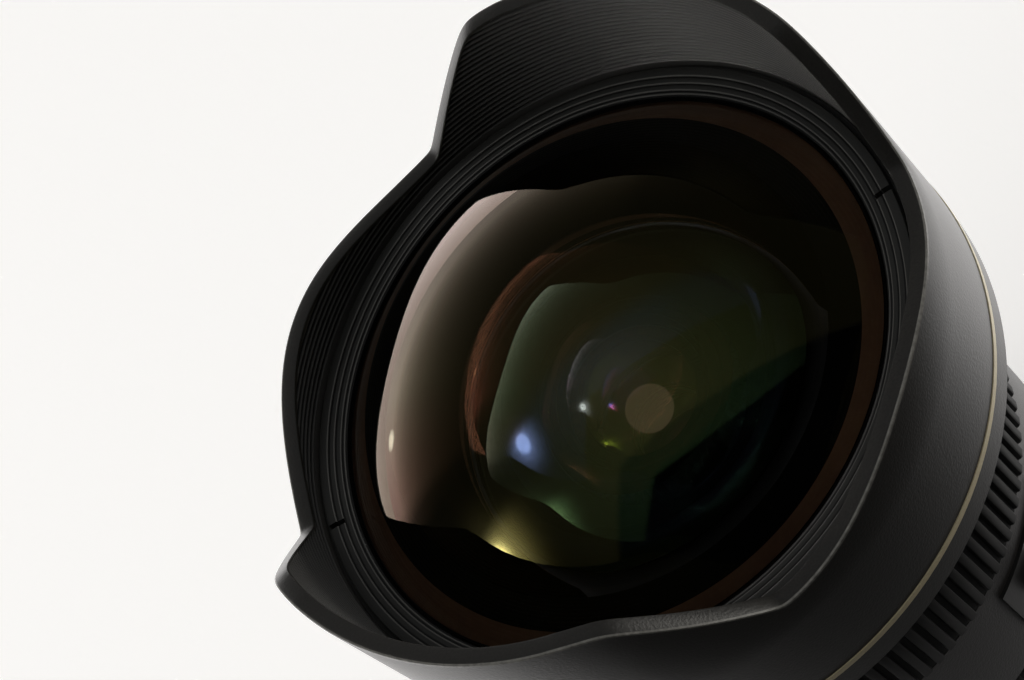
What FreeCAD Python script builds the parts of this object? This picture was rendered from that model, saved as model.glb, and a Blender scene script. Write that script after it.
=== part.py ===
import FreeCAD, Part
import math
import os
from collections import namedtuple
from FreeCAD import Vector

os.makedirs("parts", exist_ok=True)

# A wide-angle zoom lens. The origin is the centre of the mounting flange, +Z is the optical
# axis towards the front, +Y is the lens's top. Millimetres and degrees.

# Running clearances, and how far a cutter reaches past the face that it cuts
run_gap = 0.3
pin_gap = 0.1
seat_gap = 0.03
wall_gap = 0.2
slot_end_angle = 4.0
cut_over = 1.0

# Bayonet and flange
flange_radius = 31.0
flange_thickness = 2.0
throat_radius = 20.5
bayonet_radius = 21.8
bayonet_depth = 6.0
lug_radius = 23.5
lug_thickness = 1.5
lug_lift = 0.9
lug_sweep_angle = 52.0
lug_count = 3
lug_relief_width = 0.6
lug_relief_depth = 0.4
screw_circle = 28.6
screw_count = 5
screw_first_angle = 18.0
screw_head_radius = 1.3
screw_head_height = 0.9
screw_shank_radius = 0.8
screw_depth = 2.4
gasket_width = 1.3
gasket_lift = 0.3

# Contact block and rear light shield
contact_inner = 17.3
contact_outer = 20.2
contact_depth = 4.6
contact_sweep_angle = 60.0
contact_count = 10
contact_pitch_angle = 5.6
contact_pin_radius = 0.55
contact_pin_reach = 0.4
contact_pin_depth = 1.0
strip_thickness = 0.2
strip_sweep_angle = 20.0
strip_overlap = 2.0
shield_inner = 14.8
shield_outer = 26.0
shield_thickness = 1.0
shield_rim_width = 1.6
shield_rim_height = 1.7

# Rear barrel
collar_radius = 39.0
collar_top = 13.7
collar_flare = 6.5
barrel_floor = 2.9
barrel_web_height = 8.0
barrel_web_thickness = 2.0
barrel_wall = 1.2
board_inner = 23.5
board_outer = 30.4
board_thickness = 1.0
board_sweep_angle = 200.0
board_angle = 60.0
board_margin = 0.6
index_dot_radius = 0.9
index_dot_height = 0.15
index_dot_depth = 1.0

# Nested tubes, from the middle outwards
cell_tube_radius = 24.0
tube_wall = 1.2
cell_tube_wall = 1.4
skirt_radius = 36.2
cam_bottom = 16.0
cam_top = 74.0
guide_top = 79.9

# Zoom ring
zoom_ring_rear = 14.0
zoom_ring_length = 25.9
zoom_ring_wall = 1.8
zoom_band_length = 6.3
zoom_band_height = 0.9
zoom_turn = 60.0
zoom_key_height = 38.0
zoom_key_length = 2.0
zoom_key_width = 5.0
zoom_key_angle = 60.0
zoom_key_bite = 1.0

# Rubber grips
grip_rib_height = 0.8
grip_rubber = 0.9
grip_rib_count = 104
grip_rib_share = 0.6
grip_rib_taper = 0.175
grip_margin = 0.5

# Main barrel
shell_rear = 40.3
shell_front = 61.6
shell_web = 2.0
bridge_thickness = 0.9
front_flange_bottom = 83.0
drum_gap = 0.9
window_sweep_angle = 48.0
window_bottom = 46.5
window_height = 10.0
window_fit = 0.05
window_inset = 0.1
switch_plate_sweep_angle = 26.0
switch_plate_bottom = 45.5
switch_plate_height = 12.0
switch_plate_rise = 0.6
switch_slot_depth = 0.35
switch_slot_height = 2.6
switch_sweep_angle = 7.0
switch_knob_rise = 1.7
switch_knob_height = 4.4
switch_stem_share = 0.6
switch_turn = 8.0

# Focus ring, its clutch, the scale drum and the ring motor
focus_ring_rear = 61.9
focus_ring_front = 86.8
focus_ring_wall = 1.2
focus_turn = 90.0
drum_wall = 0.6
drum_bottom = 44.0
motor_width = 7.39
rotor_clearance = 1.99
rotor_bottom = 76.0
rotor_top = 79.5
stator_length = 5.0
stator_rotor_gap = 0.1
spring_thickness = 0.4
spring_wave = 0.7
spring_waves = 4
spring_width = 3.0
spring_gap = 0.3
spring_steps_per_wave = 8
clutch_bottom = 80.0
clutch_thickness = 1.4
clutch_inner = 33.0
clutch_tooth_sweep_angle = 12.0
clutch_tooth_count = 3
clutch_tooth_angle = 60.0
clutch_tooth_inset = 0.4
focus_key_bottom = 76.5
focus_key_length = 2.1
focus_key_width = 4.0
focus_key_angle = 75.0
focus_key_bite = 2.0

# Hood barrel with two long and two short petals
hood_radius = 49.0
hood_rear_taper = 0.2
hood_rear = 87.1
hood_lead = 1.0
hood_wall = 2.5
hood_web = 1.9
hood_web_inner = 30.9
hood_shelf_top = 108.0
hood_shelf_thickness = 1.5
hood_shelf_reach = 3.6
gold_line_height = 93.0
gold_line_width = 1.0
gold_line_depth = 0.4
gold_line_proud = 0.05
hood_screw_count = 3
hood_screw_angle = 45.0

# Petal outline: heights above the flange, angles from the middle of a short petal
short_petal_top = 118.4
short_petal_foot = 113.6
short_petal_half_angle = 36.0
flank_foot_angle = 37.0
flank_foot = 112.7
flank_rise = 0.862
long_petal_top = 131.5
long_petal_shoulder = 130.6
petal_corner = 2.0
petal_cut_over = 2.0

# Stepped trim ring round the front glass
trim_fit = 0.1
trim_width = 5.05
trim_top = 111.3
trim_steps = 5
trim_step_drop = 0.2
trim_notch_angle = 38.0
trim_notch_width = 0.9
trim_notch_length = 2.6
trim_notch_inset = 0.7
trim_notch_depth = 1.5

# Front group
head_gap = 0.6
head_wall = 1.3
head_plate_thickness = 2.1
cell_shoulder_radius = 30.0
glass_seat = 1.0
band_thickness = 0.25
band_fit = 0.02
band_inset = 0.3
nose_wall = 1.4
nose_gap = 0.6
fourth_ledge = 1.8
front_travel = 13.0
front_roller_height = 66.0
roller_radius = 1.5
roller_count = 3
roller_inset = 0.1
front_roller_angle = 30.0
front_cell_bottom = 63.5

# Focus group and its turning sleeve
focus_travel = 3.0
focus_pin_height = 80.0
focus_pin_radius = 1.2
focus_pin_angle = 60.0
focus_pin_count = 3
focus_pin_bite = 3.0
focus_cell_gap = 0.15
focus_cell_length = 6.8
sleeve_bottom = 74.5
sleeve_top = 91.8

# Rear group
rear_travel = 12.0
rear_roller_height = 22.0
rear_roller_angle = 90.0
rear_ring_bottom = 18.0
rear_ring_length = 12.0
rear_ring_wall = 1.5
rear_web_bottom = 24.0
rear_web_thickness = 1.6
rear_barrel_wall = 1.3
rear_ledge = 1.0

# Iris with nine blades
blade_count = 9
iris_open_radius = 10.0
iris_closed_radius = 1.3
blade_inner = 10.3
blade_outer = 15.2
blade_sweep_angle = 92.0
blade_thickness = 0.12
blade_pitch = 0.22
blade_pivot_circle = 16.7
blade_arm = 3.2
blade_pin_radius = 0.5
blade_pivot_disc = 1.4
blade_tail_disc = 1.0
blade_root_width = 3.5
blade_root_inset = 0.6
blade_gap = 0.1
iris_bottom = 33.0
iris_base_thickness = 1.2
iris_radius = 20.4
iris_wall = 0.5
iris_ring_thickness = 0.8
iris_cover_thickness = 0.8
iris_ring_inner = 11.5
iris_cell_rim = 0.3
iris_turn = 24.0

# Aperture lever
lever_angle = 200.0
lever_ring_inner = 20.7
lever_ring_outer = 24.1
lever_ring_thickness = 1.2
lever_bar_inner = 20.9
lever_bar_outer = 22.2
lever_bar_sweep_angle = 15.0
lever_bar_top = 50.6
lever_tab_inner = 18.4
lever_tab_sweep_angle = 8.0
lever_tab_reach = 5.5
fork_prong_sweep_angle = 5.0

# Single glasses: radii of the front and back (plus bows to the front), thickness on the axis,
# radius of the ground edge, and radius of the hollow back inside its flat
Glass = namedtuple(
    "Glass", "front_radius back_radius thickness edge_radius hollow_radius vertex_height", defaults=[0.0]
)
front_glass_front_radius = 55.0
front_glass_back_radius = 32.0
front_glass_rim = 5.466
front_glass_hollow_radius = 29.0
second_glass_form = Glass(
    front_radius=75.0, back_radius=24.0, thickness=2.5, edge_radius=27.5, hollow_radius=21.5
)
third_glass_form = Glass(
    front_radius=-120.0, back_radius=38.0, thickness=2.0, edge_radius=18.0, hollow_radius=16.0
)
fourth_glass_form = Glass(
    front_radius=45.0, back_radius=-60.0, thickness=6.8, edge_radius=16.5, hollow_radius=16.5
)
head_stop_gap = 0.7
second_to_third_air = 10.5
third_to_fourth_air = 1.2

# Cemented pairs: height of the front vertex, radii of the three faces, two thicknesses, edge radius
Pair = namedtuple(
    "Pair",
    "vertex_height front_radius middle_radius back_radius first_thickness second_thickness edge_radius",
)
focus_pair_form = Pair(
    vertex_height=85.5, front_radius=60.0, middle_radius=-28.0, back_radius=90.0,
    first_thickness=5.6, second_thickness=1.8, edge_radius=13.5
)
iris_front_form = Pair(
    vertex_height=46.5, front_radius=40.0, middle_radius=-45.0, back_radius=200.0,
    first_thickness=4.5, second_thickness=1.5, edge_radius=10.5
)
iris_rear_form = Pair(
    vertex_height=31.5, front_radius=30.0, middle_radius=-60.0, back_radius=40.0,
    first_thickness=4.5, second_thickness=1.5, edge_radius=10.8
)
field_pair_form = Pair(
    vertex_height=20.8, front_radius=-30.0, middle_radius=50.0, back_radius=-35.0,
    first_thickness=1.5, second_thickness=5.0, edge_radius=12.0
)
rear_pair_form = Pair(
    vertex_height=13.6, front_radius=60.0, middle_radius=-50.0, back_radius=-200.0,
    first_thickness=3.6, second_thickness=1.5, edge_radius=12.0
)

# Radii that follow from the ones above
cell_tube_inner = cell_tube_radius - cell_tube_wall
sleeve_inner = cell_tube_radius + run_gap
sleeve_outer = sleeve_inner + tube_wall
guide_inner = sleeve_outer + 1.7 * run_gap
guide_outer = guide_inner + tube_wall
cam_inner = guide_outer + run_gap
cam_outer = cam_inner + tube_wall
main_inner = cam_outer + run_gap
main_outer = main_inner + tube_wall
skirt_inner = skirt_radius - barrel_wall
zoom_ring_inner = skirt_radius + run_gap
zoom_core = zoom_ring_inner + zoom_ring_wall
motor_inner = main_outer + rotor_clearance
motor_outer = main_outer + motor_width
drum_inner = motor_outer + run_gap
drum_outer = drum_inner + drum_wall
shell_inner = drum_outer + drum_gap
shell_radius = shell_inner + barrel_wall
focus_ring_inner = drum_outer + run_gap
focus_core = focus_ring_inner + focus_ring_wall
rear_ring_outer = guide_inner - run_gap
barrel_web_top = barrel_web_height + barrel_web_thickness
zoom_ring_front = zoom_ring_rear + zoom_ring_length
hood_inner = hood_radius - hood_wall
hood_bore = hood_inner - hood_shelf_reach
trim_outer = hood_inner - trim_fit
trim_inner = trim_outer - trim_width
head_radius = hood_bore - head_gap
front_glass_edge = head_radius - head_wall - band_fit - band_thickness - seat_gap
bridge_bottom = guide_top - bridge_thickness
seat_one = hood_rear + hood_web + head_stop_gap + front_travel + head_plate_thickness
seat_two = guide_top + run_gap + front_travel + cell_tube_wall


def polar(radius, angle, height=0.0):
    turn = math.radians(angle)
    return Vector(radius * math.cos(turn), radius * math.sin(turn), height)


def turned(points):
    """A solid of revolution about the optical axis from a closed outline of (radius, height)."""
    outline = [Vector(radius, 0, height) for radius, height in points]
    wire = Part.makePolygon(outline + outline[:1])
    return Part.Face(wire).revolve(Vector(0, 0, 0), Vector(0, 0, 1), 360)


def ring(inner, outer, bottom, top):
    return turned([(inner, bottom), (outer, bottom), (outer, top), (inner, top)])


def ring_sector(inner, outer, bottom, top, middle, sweep):
    """A piece of a ring whose ends are radial faces."""
    corners = [(inner, bottom), (outer, bottom), (outer, top), (inner, top)]
    outline = [Vector(radius, 0, height) for radius, height in corners]
    face = Part.Face(Part.makePolygon(outline + outline[:1]))
    piece = face.revolve(Vector(0, 0, 0), Vector(0, 0, 1), sweep)
    piece.rotate(Vector(0, 0, 0), Vector(0, 0, 1), middle - sweep / 2)
    return piece


def radial_bar(inner, outer, bottom, top, width, angle):
    """A flat key that points at the axis."""
    bar = Part.makeBox(outer - inner, width, top - bottom, Vector(inner, -width / 2, bottom))
    bar.rotate(Vector(0, 0, 0), Vector(0, 0, 1), angle)
    return bar


def radial_pin(radius, inner, outer, height, angle):
    return Part.makeCylinder(radius, outer - inner, polar(inner, angle, height), polar(1, angle))


def axial_pin(radius, circle, angle, bottom, top):
    return Part.makeCylinder(radius, top - bottom, polar(circle, angle, bottom), Vector(0, 0, 1))


def straight_slot(inner, outer, low, high, half_width, angle):
    """A slot along the axis for a pin that travels from low to high, with round ends."""
    ends = [radial_pin(half_width, inner, outer, height, angle) for height in (low, high)]
    middle = radial_bar(inner, outer, low, high, 2 * half_width, angle)
    return ends[0].fuse([ends[1], middle])


def helical_slot(inner, outer, low, rise, sweep, half_width, angle):
    """A slot that climbs (or falls, with a minus rise) while it turns, as its channel and two round ends."""
    middle = (inner + outer) / 2
    climb = abs(rise)
    helix = Part.makeHelix(climb * 360 / sweep, climb, middle)
    half_height = half_width / math.cos(math.atan2(climb, math.radians(sweep) * middle))
    corners = [(inner, -half_height), (outer, -half_height), (outer, half_height), (inner, half_height)]
    section = [Vector(radius, 0, height) for radius, height in corners]
    shell = Part.BRepOffsetAPI.MakePipeShell(Part.Wire(helix.Edges))
    shell.setBiNormalMode(Vector(0, 0, 1))
    shell.add(Part.makePolygon(section + section[:1]))
    shell.build()
    shell.makeSolid()
    pieces = [shell.shape()]
    for height, turn in ((0, 0), (climb, sweep)):
        pieces.append(radial_pin(half_width, inner, outer, height, turn))
    placed = []
    for piece in pieces:
        if rise < 0:
            piece = piece.mirror(Vector(0, 0, 0), Vector(0, 1, 0))
            piece.rotate(Vector(0, 0, 0), Vector(0, 0, 1), sweep)
        piece.rotate(Vector(0, 0, 0), Vector(0, 0, 1), angle)
        piece.translate(Vector(0, 0, min(low, low + rise)))
        placed.append(piece)
    return placed


def around(count, first=0.0):
    return [first + 360.0 * index / count for index in range(count)]


def save(name, shapes):
    if not isinstance(shapes, list):
        shapes = [shapes]
    shape = shapes[0] if len(shapes) == 1 else Part.makeCompound(shapes)
    shape.exportStep("parts/" + name + ".step")


def sag(radius, reach):
    """How far a lens face of this radius falls back at this distance from the axis."""
    return radius - math.copysign(math.sqrt(radius * radius - reach * reach), radius)


def seated(form, seat):
    """A single glass whose flat round the hollow back lies at this height."""
    return form._replace(vertex_height=seat + sag(form.back_radius, form.hollow_radius) + form.thickness)


def cemented(form):
    """Two glasses that share their middle face."""
    edge = form.edge_radius
    first = Glass(
        form.front_radius, form.middle_radius, form.first_thickness, edge, edge, form.vertex_height
    )
    second_vertex = form.vertex_height - form.first_thickness
    second = Glass(form.middle_radius, form.back_radius, form.second_thickness, edge, edge, second_vertex)
    return first, second


def back_vertex(glass):
    return glass.vertex_height - glass.thickness


def front_edge(glass):
    return glass.vertex_height - sag(glass.front_radius, glass.edge_radius)


def back_edge(glass):
    return back_vertex(glass) - sag(glass.back_radius, glass.hollow_radius)


def ledge(glass):
    """Height of the flat ledge that the back of a glass rests on."""
    touch = glass.edge_radius - glass_seat if glass.back_radius < 0 else glass.hollow_radius
    return back_vertex(glass) - sag(glass.back_radius, touch)


def bore(glass):
    return glass.edge_radius + seat_gap


def lens(glass):
    """One glass: two spherical faces, a ground cylindrical edge and, round a hollow back, a flat."""
    edge = glass.edge_radius
    hollow = glass.hollow_radius
    top = glass.vertex_height
    rear = back_vertex(glass)
    front_corner = Vector(edge, 0, front_edge(glass))
    back_corner = Vector(edge, 0, back_edge(glass))
    hollow_corner = Vector(hollow, 0, back_edge(glass))
    front_middle = Vector(edge / 2, 0, top - sag(glass.front_radius, edge / 2))
    back_middle = Vector(hollow / 2, 0, rear - sag(glass.back_radius, hollow / 2))
    edges = [
        Part.Arc(Vector(0, 0, top), front_middle, front_corner).toShape(),
        Part.makeLine(front_corner, back_corner),
    ]
    if edge > hollow:
        edges.append(Part.makeLine(back_corner, hollow_corner))
    edges.append(Part.Arc(hollow_corner, back_middle, Vector(0, 0, rear)).toShape())
    edges.append(Part.makeLine(Vector(0, 0, rear), Vector(0, 0, top)))
    return Part.Face(Part.Wire(edges)).revolve(Vector(0, 0, 0), Vector(0, 0, 1), 360)


# Bayonet mount: flange, tube and lugs, with a relief groove round the lugs' root
lug_bottom = -bayonet_depth + lug_lift
bayonet = turned([
    (throat_radius, -bayonet_depth),
    (bayonet_radius, -bayonet_depth),
    (bayonet_radius, lug_relief_depth),
    (lug_radius + lug_relief_width, lug_relief_depth),
    (lug_radius + lug_relief_width, 0),
    (flange_radius, 0),
    (flange_radius, flange_thickness),
    (throat_radius, flange_thickness),
])
for angle in around(lug_count, 90):
    bayonet = bayonet.fuse(
        ring_sector(
            bayonet_radius - seat_gap, lug_radius, lug_bottom, lug_bottom + lug_thickness,
            angle, lug_sweep_angle
        )
    )
screw_angles = around(screw_count, screw_first_angle)
mount_screws = []
for angle in screw_angles:
    head = axial_pin(screw_head_radius, screw_circle, angle, seat_gap, screw_head_height)
    shank_top = flange_thickness + screw_depth
    shank = axial_pin(screw_shank_radius, screw_circle, angle, screw_head_height, shank_top)
    mount_screws.append(head.fuse(shank))
    head_hole = axial_pin(
        screw_head_radius + seat_gap, screw_circle, angle, -cut_over, screw_head_height
    )
    shank_hole = axial_pin(screw_shank_radius, screw_circle, angle, 0, flange_thickness + cut_over)
    bayonet = bayonet.cut([head_hole, shank_hole])
save("bayonet_mount", bayonet)
save("mount_screws", mount_screws)
save("mount_gasket", ring(flange_radius, flange_radius + gasket_width, gasket_lift, flange_thickness))

# Contact block on the inside of the bayonet, with its spring contacts
contact_block = ring_sector(
    contact_inner, contact_outer, -contact_depth, flange_thickness, 90, contact_sweep_angle
)
contact_circle = (contact_inner + contact_outer) / 2
contact_pins = []
for index in range(contact_count):
    angle = 90 + contact_pitch_angle * (index - (contact_count - 1) / 2)
    low = -contact_depth - contact_pin_reach
    high = contact_pin_depth - contact_depth
    contact_pins.append(axial_pin(contact_pin_radius, contact_circle, angle, low, high))
    contact_block = contact_block.cut(contact_pins[-1])
save("contact_block", contact_block)
save("contact_pins", contact_pins)

# Flexible strip that joins the contacts to the circuit board
floor_top = flange_thickness + barrel_floor
strip_top = floor_top + board_thickness
strip_inner = contact_inner - run_gap - strip_thickness
strip_outer = strip_inner + strip_thickness
flex_strip = ring_sector(strip_inner, strip_outer, 0, strip_top, 90, strip_sweep_angle)
flex_strip = flex_strip.fuse(
    ring_sector(
        strip_inner, board_inner + strip_overlap, strip_top, strip_top + strip_thickness,
        90, strip_sweep_angle
    )
)

# Rear light shield: it closes the throat round the last glass and guides the lever's ring
shield_top = flange_thickness + shield_thickness
lever_slot_sweep_angle = lever_tab_sweep_angle + iris_turn + slot_end_angle
lever_slot_middle = lever_angle + iris_turn / 2
light_shield = turned([
    (shield_inner, flange_thickness),
    (shield_outer, flange_thickness),
    (shield_outer, shield_top + shield_rim_height),
    (shield_outer - shield_rim_width, shield_top + shield_rim_height),
    (shield_outer - shield_rim_width, shield_top),
    (shield_inner, shield_top),
])
light_shield = light_shield.cut(
    ring_sector(
        lever_tab_inner - run_gap, lever_ring_inner + run_gap, flange_thickness - cut_over,
        shield_top + cut_over, lever_slot_middle, lever_slot_sweep_angle
    )
)
save("rear_light_shield", light_shield.cut(flex_strip))
save("flex_strip", flex_strip)

# Rear barrel: collar, floor for the mount, web for the inner tubes, skirt for the zoom ring
floor_inner = shield_outer + wall_gap
web_reach = board_outer + board_margin
rear_barrel = turned([
    (floor_inner, flange_thickness),
    (flange_radius + gasket_width + wall_gap, flange_thickness),
    (collar_radius, flange_thickness + collar_flare),
    (collar_radius, collar_top),
    (skirt_radius, collar_top),
    (skirt_radius, shell_rear - run_gap),
    (skirt_inner, shell_rear - run_gap),
    (skirt_inner, barrel_web_top),
    (guide_inner, barrel_web_top),
    (guide_inner, barrel_web_height),
    (web_reach, barrel_web_height),
    (web_reach, floor_top),
    (floor_inner, floor_top),
])
for angle in screw_angles:
    shank_top = flange_thickness + screw_depth
    rear_barrel = rear_barrel.cut(axial_pin(screw_shank_radius, screw_circle, angle, 0, shank_top))
zoom_slot_sweep_angle = zoom_turn + math.degrees(zoom_key_width / main_outer) + slot_end_angle
zoom_slot_middle = zoom_key_angle + zoom_turn / 2
zoom_slot_bottom = zoom_key_height - zoom_key_length / 2 - run_gap
zoom_slot_top = zoom_key_height + zoom_key_length / 2 + run_gap
rear_barrel = rear_barrel.cut(
    ring_sector(
        skirt_inner - cut_over, skirt_radius + cut_over, zoom_slot_bottom, zoom_slot_top,
        zoom_slot_middle, zoom_slot_sweep_angle
    )
)
dot_height = (flange_thickness + collar_flare + collar_top) / 2
dot_floor = collar_radius - index_dot_depth
dot_hole = radial_pin(index_dot_radius, dot_floor, collar_radius + cut_over, dot_height, 90)
save("rear_barrel", rear_barrel.cut(dot_hole))
dot_front = collar_radius + index_dot_height
save("index_dot", radial_pin(index_dot_radius, dot_floor, dot_front, dot_height, 90))

# Circuit board on the rear barrel's floor
board_top = floor_top + board_thickness
save(
    "circuit_board",
    ring_sector(board_inner, board_outer, floor_top, board_top, board_angle, board_sweep_angle),
)

# Guide tube: straight slots for the rollers, an arc slot for the focus key
front_low = front_roller_height - front_travel
rear_high = rear_roller_height + rear_travel
slot_half = roller_radius + pin_gap
front_angles = around(roller_count, front_roller_angle)
rear_angles = around(roller_count, rear_roller_angle)
guide_tube = ring(guide_inner, guide_outer, barrel_web_top, guide_top)
for angle in front_angles:
    guide_tube = guide_tube.cut(
        straight_slot(
            guide_inner - cut_over, guide_outer + cut_over, front_low, front_roller_height, slot_half, angle
        )
    )
for angle in rear_angles:
    guide_tube = guide_tube.cut(
        straight_slot(
            guide_inner - cut_over, guide_outer + cut_over, rear_roller_height, rear_high, slot_half, angle
        )
    )
focus_slot_sweep_angle = focus_turn + math.degrees(focus_key_width / guide_inner) + slot_end_angle
focus_slot_middle = focus_key_angle + focus_turn / 2
focus_slot_bottom = focus_key_bottom - run_gap
focus_slot_top = focus_key_bottom + focus_key_length + run_gap
key_arc = ring_sector(
    guide_inner - cut_over, main_outer + cut_over, focus_slot_bottom, focus_slot_top,
    focus_slot_middle, focus_slot_sweep_angle
)
save("guide_tube", guide_tube.cut(key_arc))

# Cam ring: helical slots that turn the zoom ring's motion into the two groups' travel
cam_ring = ring(cam_inner, cam_outer, cam_bottom, cam_top)
for angle in front_angles:
    cam_ring = cam_ring.cut(
        helical_slot(
            cam_inner - cut_over, cam_outer + cut_over, front_low, front_travel, zoom_turn, slot_half,
            angle - zoom_turn
        )
    )
for angle in rear_angles:
    cam_ring = cam_ring.cut(
        helical_slot(
            cam_inner - cut_over, cam_outer + cut_over, rear_high, -rear_travel, zoom_turn, slot_half,
            angle - zoom_turn
        )
    )
key_bottom = zoom_key_height - zoom_key_length / 2
key_top = zoom_key_height + zoom_key_length / 2
zoom_key = radial_bar(
    cam_outer - tube_wall / 2, zoom_ring_inner + zoom_key_bite, key_bottom, key_top,
    zoom_key_width, zoom_key_angle
)
save("cam_ring", cam_ring.cut(zoom_key))
save("zoom_key", zoom_key)

# Zoom ring with the band for its focal numbers, and its ribbed rubber
zoom_ring = turned([
    (zoom_ring_inner, zoom_ring_rear),
    (zoom_core + zoom_band_height, zoom_ring_rear),
    (zoom_core + zoom_band_height, zoom_ring_rear + zoom_band_length),
    (zoom_core, zoom_ring_rear + zoom_band_length),
    (zoom_core, zoom_ring_front),
    (zoom_ring_inner, zoom_ring_front),
])
save("zoom_ring", zoom_ring.cut(zoom_key))


def ribbed_grip(inner, bottom, top):
    """A rubber band with flat-topped ribs along the axis."""
    valley = inner + grip_rubber
    crest = valley + grip_rib_height
    pitch = 360.0 / grip_rib_count
    half_rib = pitch * grip_rib_share / 2
    half_foot = half_rib * (1 + grip_rib_taper)
    half_crest = half_rib * (1 - grip_rib_taper)
    outline = []
    for angle in around(grip_rib_count):
        outline.append(polar(valley, angle - half_foot, bottom))
        outline.append(polar(crest, angle - half_crest, bottom))
        outline.append(polar(crest, angle + half_crest, bottom))
        outline.append(polar(valley, angle + half_foot, bottom))
    outer_wire = Part.Wire(Part.makePolygon(outline + outline[:1]).Edges)
    inner_wire = Part.Wire([Part.makeCircle(inner, Vector(0, 0, bottom))])
    return Part.Face([outer_wire, inner_wire]).extrude(Vector(0, 0, top - bottom))


band_top = zoom_ring_rear + zoom_band_length
save("zoom_grip", ribbed_grip(zoom_core, band_top, zoom_ring_front - grip_margin))

# Main barrel: tube, web and shell with the distance window, bridge and front flange
main_barrel = turned([
    (main_inner, barrel_web_top),
    (main_outer, barrel_web_top),
    (main_outer, shell_rear - run_gap),
    (skirt_radius, shell_rear - run_gap),
    (skirt_radius, shell_rear),
    (shell_radius, shell_rear),
    (shell_radius, shell_front),
    (shell_inner, shell_front),
    (shell_inner, shell_rear + shell_web),
    (main_outer, shell_rear + shell_web),
    (main_outer, bridge_bottom),
    (hood_web_inner - run_gap + tube_wall, bridge_bottom),
    (hood_web_inner - run_gap + tube_wall, front_flange_bottom),
    (drum_outer, front_flange_bottom),
    (drum_outer, hood_rear),
    (hood_web_inner - run_gap, hood_rear),
    (hood_web_inner - run_gap, guide_top),
    (main_inner, guide_top),
])
main_barrel = main_barrel.cut([
    key_arc,
    ring_sector(
        main_inner - cut_over, main_outer + cut_over, zoom_slot_bottom, zoom_slot_top,
        zoom_slot_middle, zoom_slot_sweep_angle
    ),
    ring_sector(
        shell_inner - cut_over, shell_radius + cut_over, window_bottom,
        window_bottom + window_height, 90, window_sweep_angle
    ),
])
hood_screw_circle = (hood_web_inner + drum_outer) / 2
hood_screw_angles = around(hood_screw_count, hood_screw_angle)
hood_screws = []
screw_low = hood_rear - screw_depth
for angle in hood_screw_angles:
    shank = axial_pin(screw_shank_radius, hood_screw_circle, angle, screw_low, hood_rear + hood_web)
    head_bottom = hood_rear + hood_web - screw_head_height
    head = axial_pin(screw_head_radius, hood_screw_circle, angle, head_bottom, hood_rear + hood_web)
    hood_screws.append(shank.fuse(head))
    main_barrel = main_barrel.cut(hood_screws[-1])
save("main_barrel", main_barrel)
save("hood_screws", hood_screws)
window_slack = math.degrees(window_fit / shell_radius)
save(
    "distance_window",
    ring_sector(
        shell_inner + window_inset, shell_radius - window_inset, window_bottom + window_fit,
        window_bottom + window_height - window_fit, 90, window_sweep_angle - 2 * window_slack
    ),
)

# Focus mode switch: a plate on the side of the shell and a slider in its slot
plate_outer = shell_radius + switch_plate_rise
switch_middle = switch_plate_bottom + switch_plate_height / 2
switch_plate = ring_sector(
    shell_radius, plate_outer, switch_plate_bottom, switch_plate_bottom + switch_plate_height,
    0, switch_plate_sweep_angle
)
slot_floor = plate_outer - switch_slot_depth
switch_plate = switch_plate.cut(
    ring_sector(
        slot_floor, plate_outer + cut_over, switch_middle - switch_slot_height / 2,
        switch_middle + switch_slot_height / 2, 0, switch_turn + switch_sweep_angle
    )
)
save("switch_plate", switch_plate)
switch_start = -switch_turn / 2
knob = ring_sector(
    plate_outer + pin_gap, plate_outer + switch_knob_rise, switch_middle - switch_knob_height / 2,
    switch_middle + switch_knob_height / 2, switch_start, switch_sweep_angle
)
stem = ring_sector(
    slot_floor + pin_gap, plate_outer + pin_gap, switch_middle - switch_slot_height / 2 + pin_gap,
    switch_middle + switch_slot_height / 2 - pin_gap, switch_start, switch_sweep_angle * switch_stem_share
)
save("mode_switch", knob.fuse(stem))

# Focus ring and its ribbed rubber, with three slots for the clutch's teeth
clutch_teeth = []
for angle in around(clutch_tooth_count, clutch_tooth_angle):
    clutch_teeth.append(
        ring_sector(
            drum_outer - cut_over, focus_core - clutch_tooth_inset, clutch_bottom,
            clutch_bottom + clutch_thickness, angle, clutch_tooth_sweep_angle
        )
    )
focus_ring = ring(focus_ring_inner, focus_core, focus_ring_rear, focus_ring_front)
save("focus_ring", focus_ring.cut(clutch_teeth))
save("focus_grip", ribbed_grip(focus_core, focus_ring_rear + grip_margin, focus_ring_front))
clutch_ring = ring(clutch_inner, drum_outer, clutch_bottom, clutch_bottom + clutch_thickness)
save("clutch_ring", clutch_ring.fuse(clutch_teeth).removeSplitter())

# Ring motor and scale drum: wave spring, stator, rotor, drum and the key to the focus sleeve
stator_top = rotor_bottom - stator_rotor_gap
stator_bottom = stator_top - stator_length
rotor_outer = drum_inner
save("motor_stator", ring(main_outer, motor_outer, stator_bottom, stator_top))
focus_key = radial_bar(
    sleeve_inner + pin_gap, motor_inner + focus_key_bite, focus_key_bottom,
    focus_key_bottom + focus_key_length, focus_key_width, focus_key_angle
)
save("focus_key", focus_key)
save("motor_rotor", ring(motor_inner, rotor_outer, rotor_bottom, rotor_top).cut(focus_key))
save("distance_scale", ring(drum_inner, drum_outer, drum_bottom, rotor_top))


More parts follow.
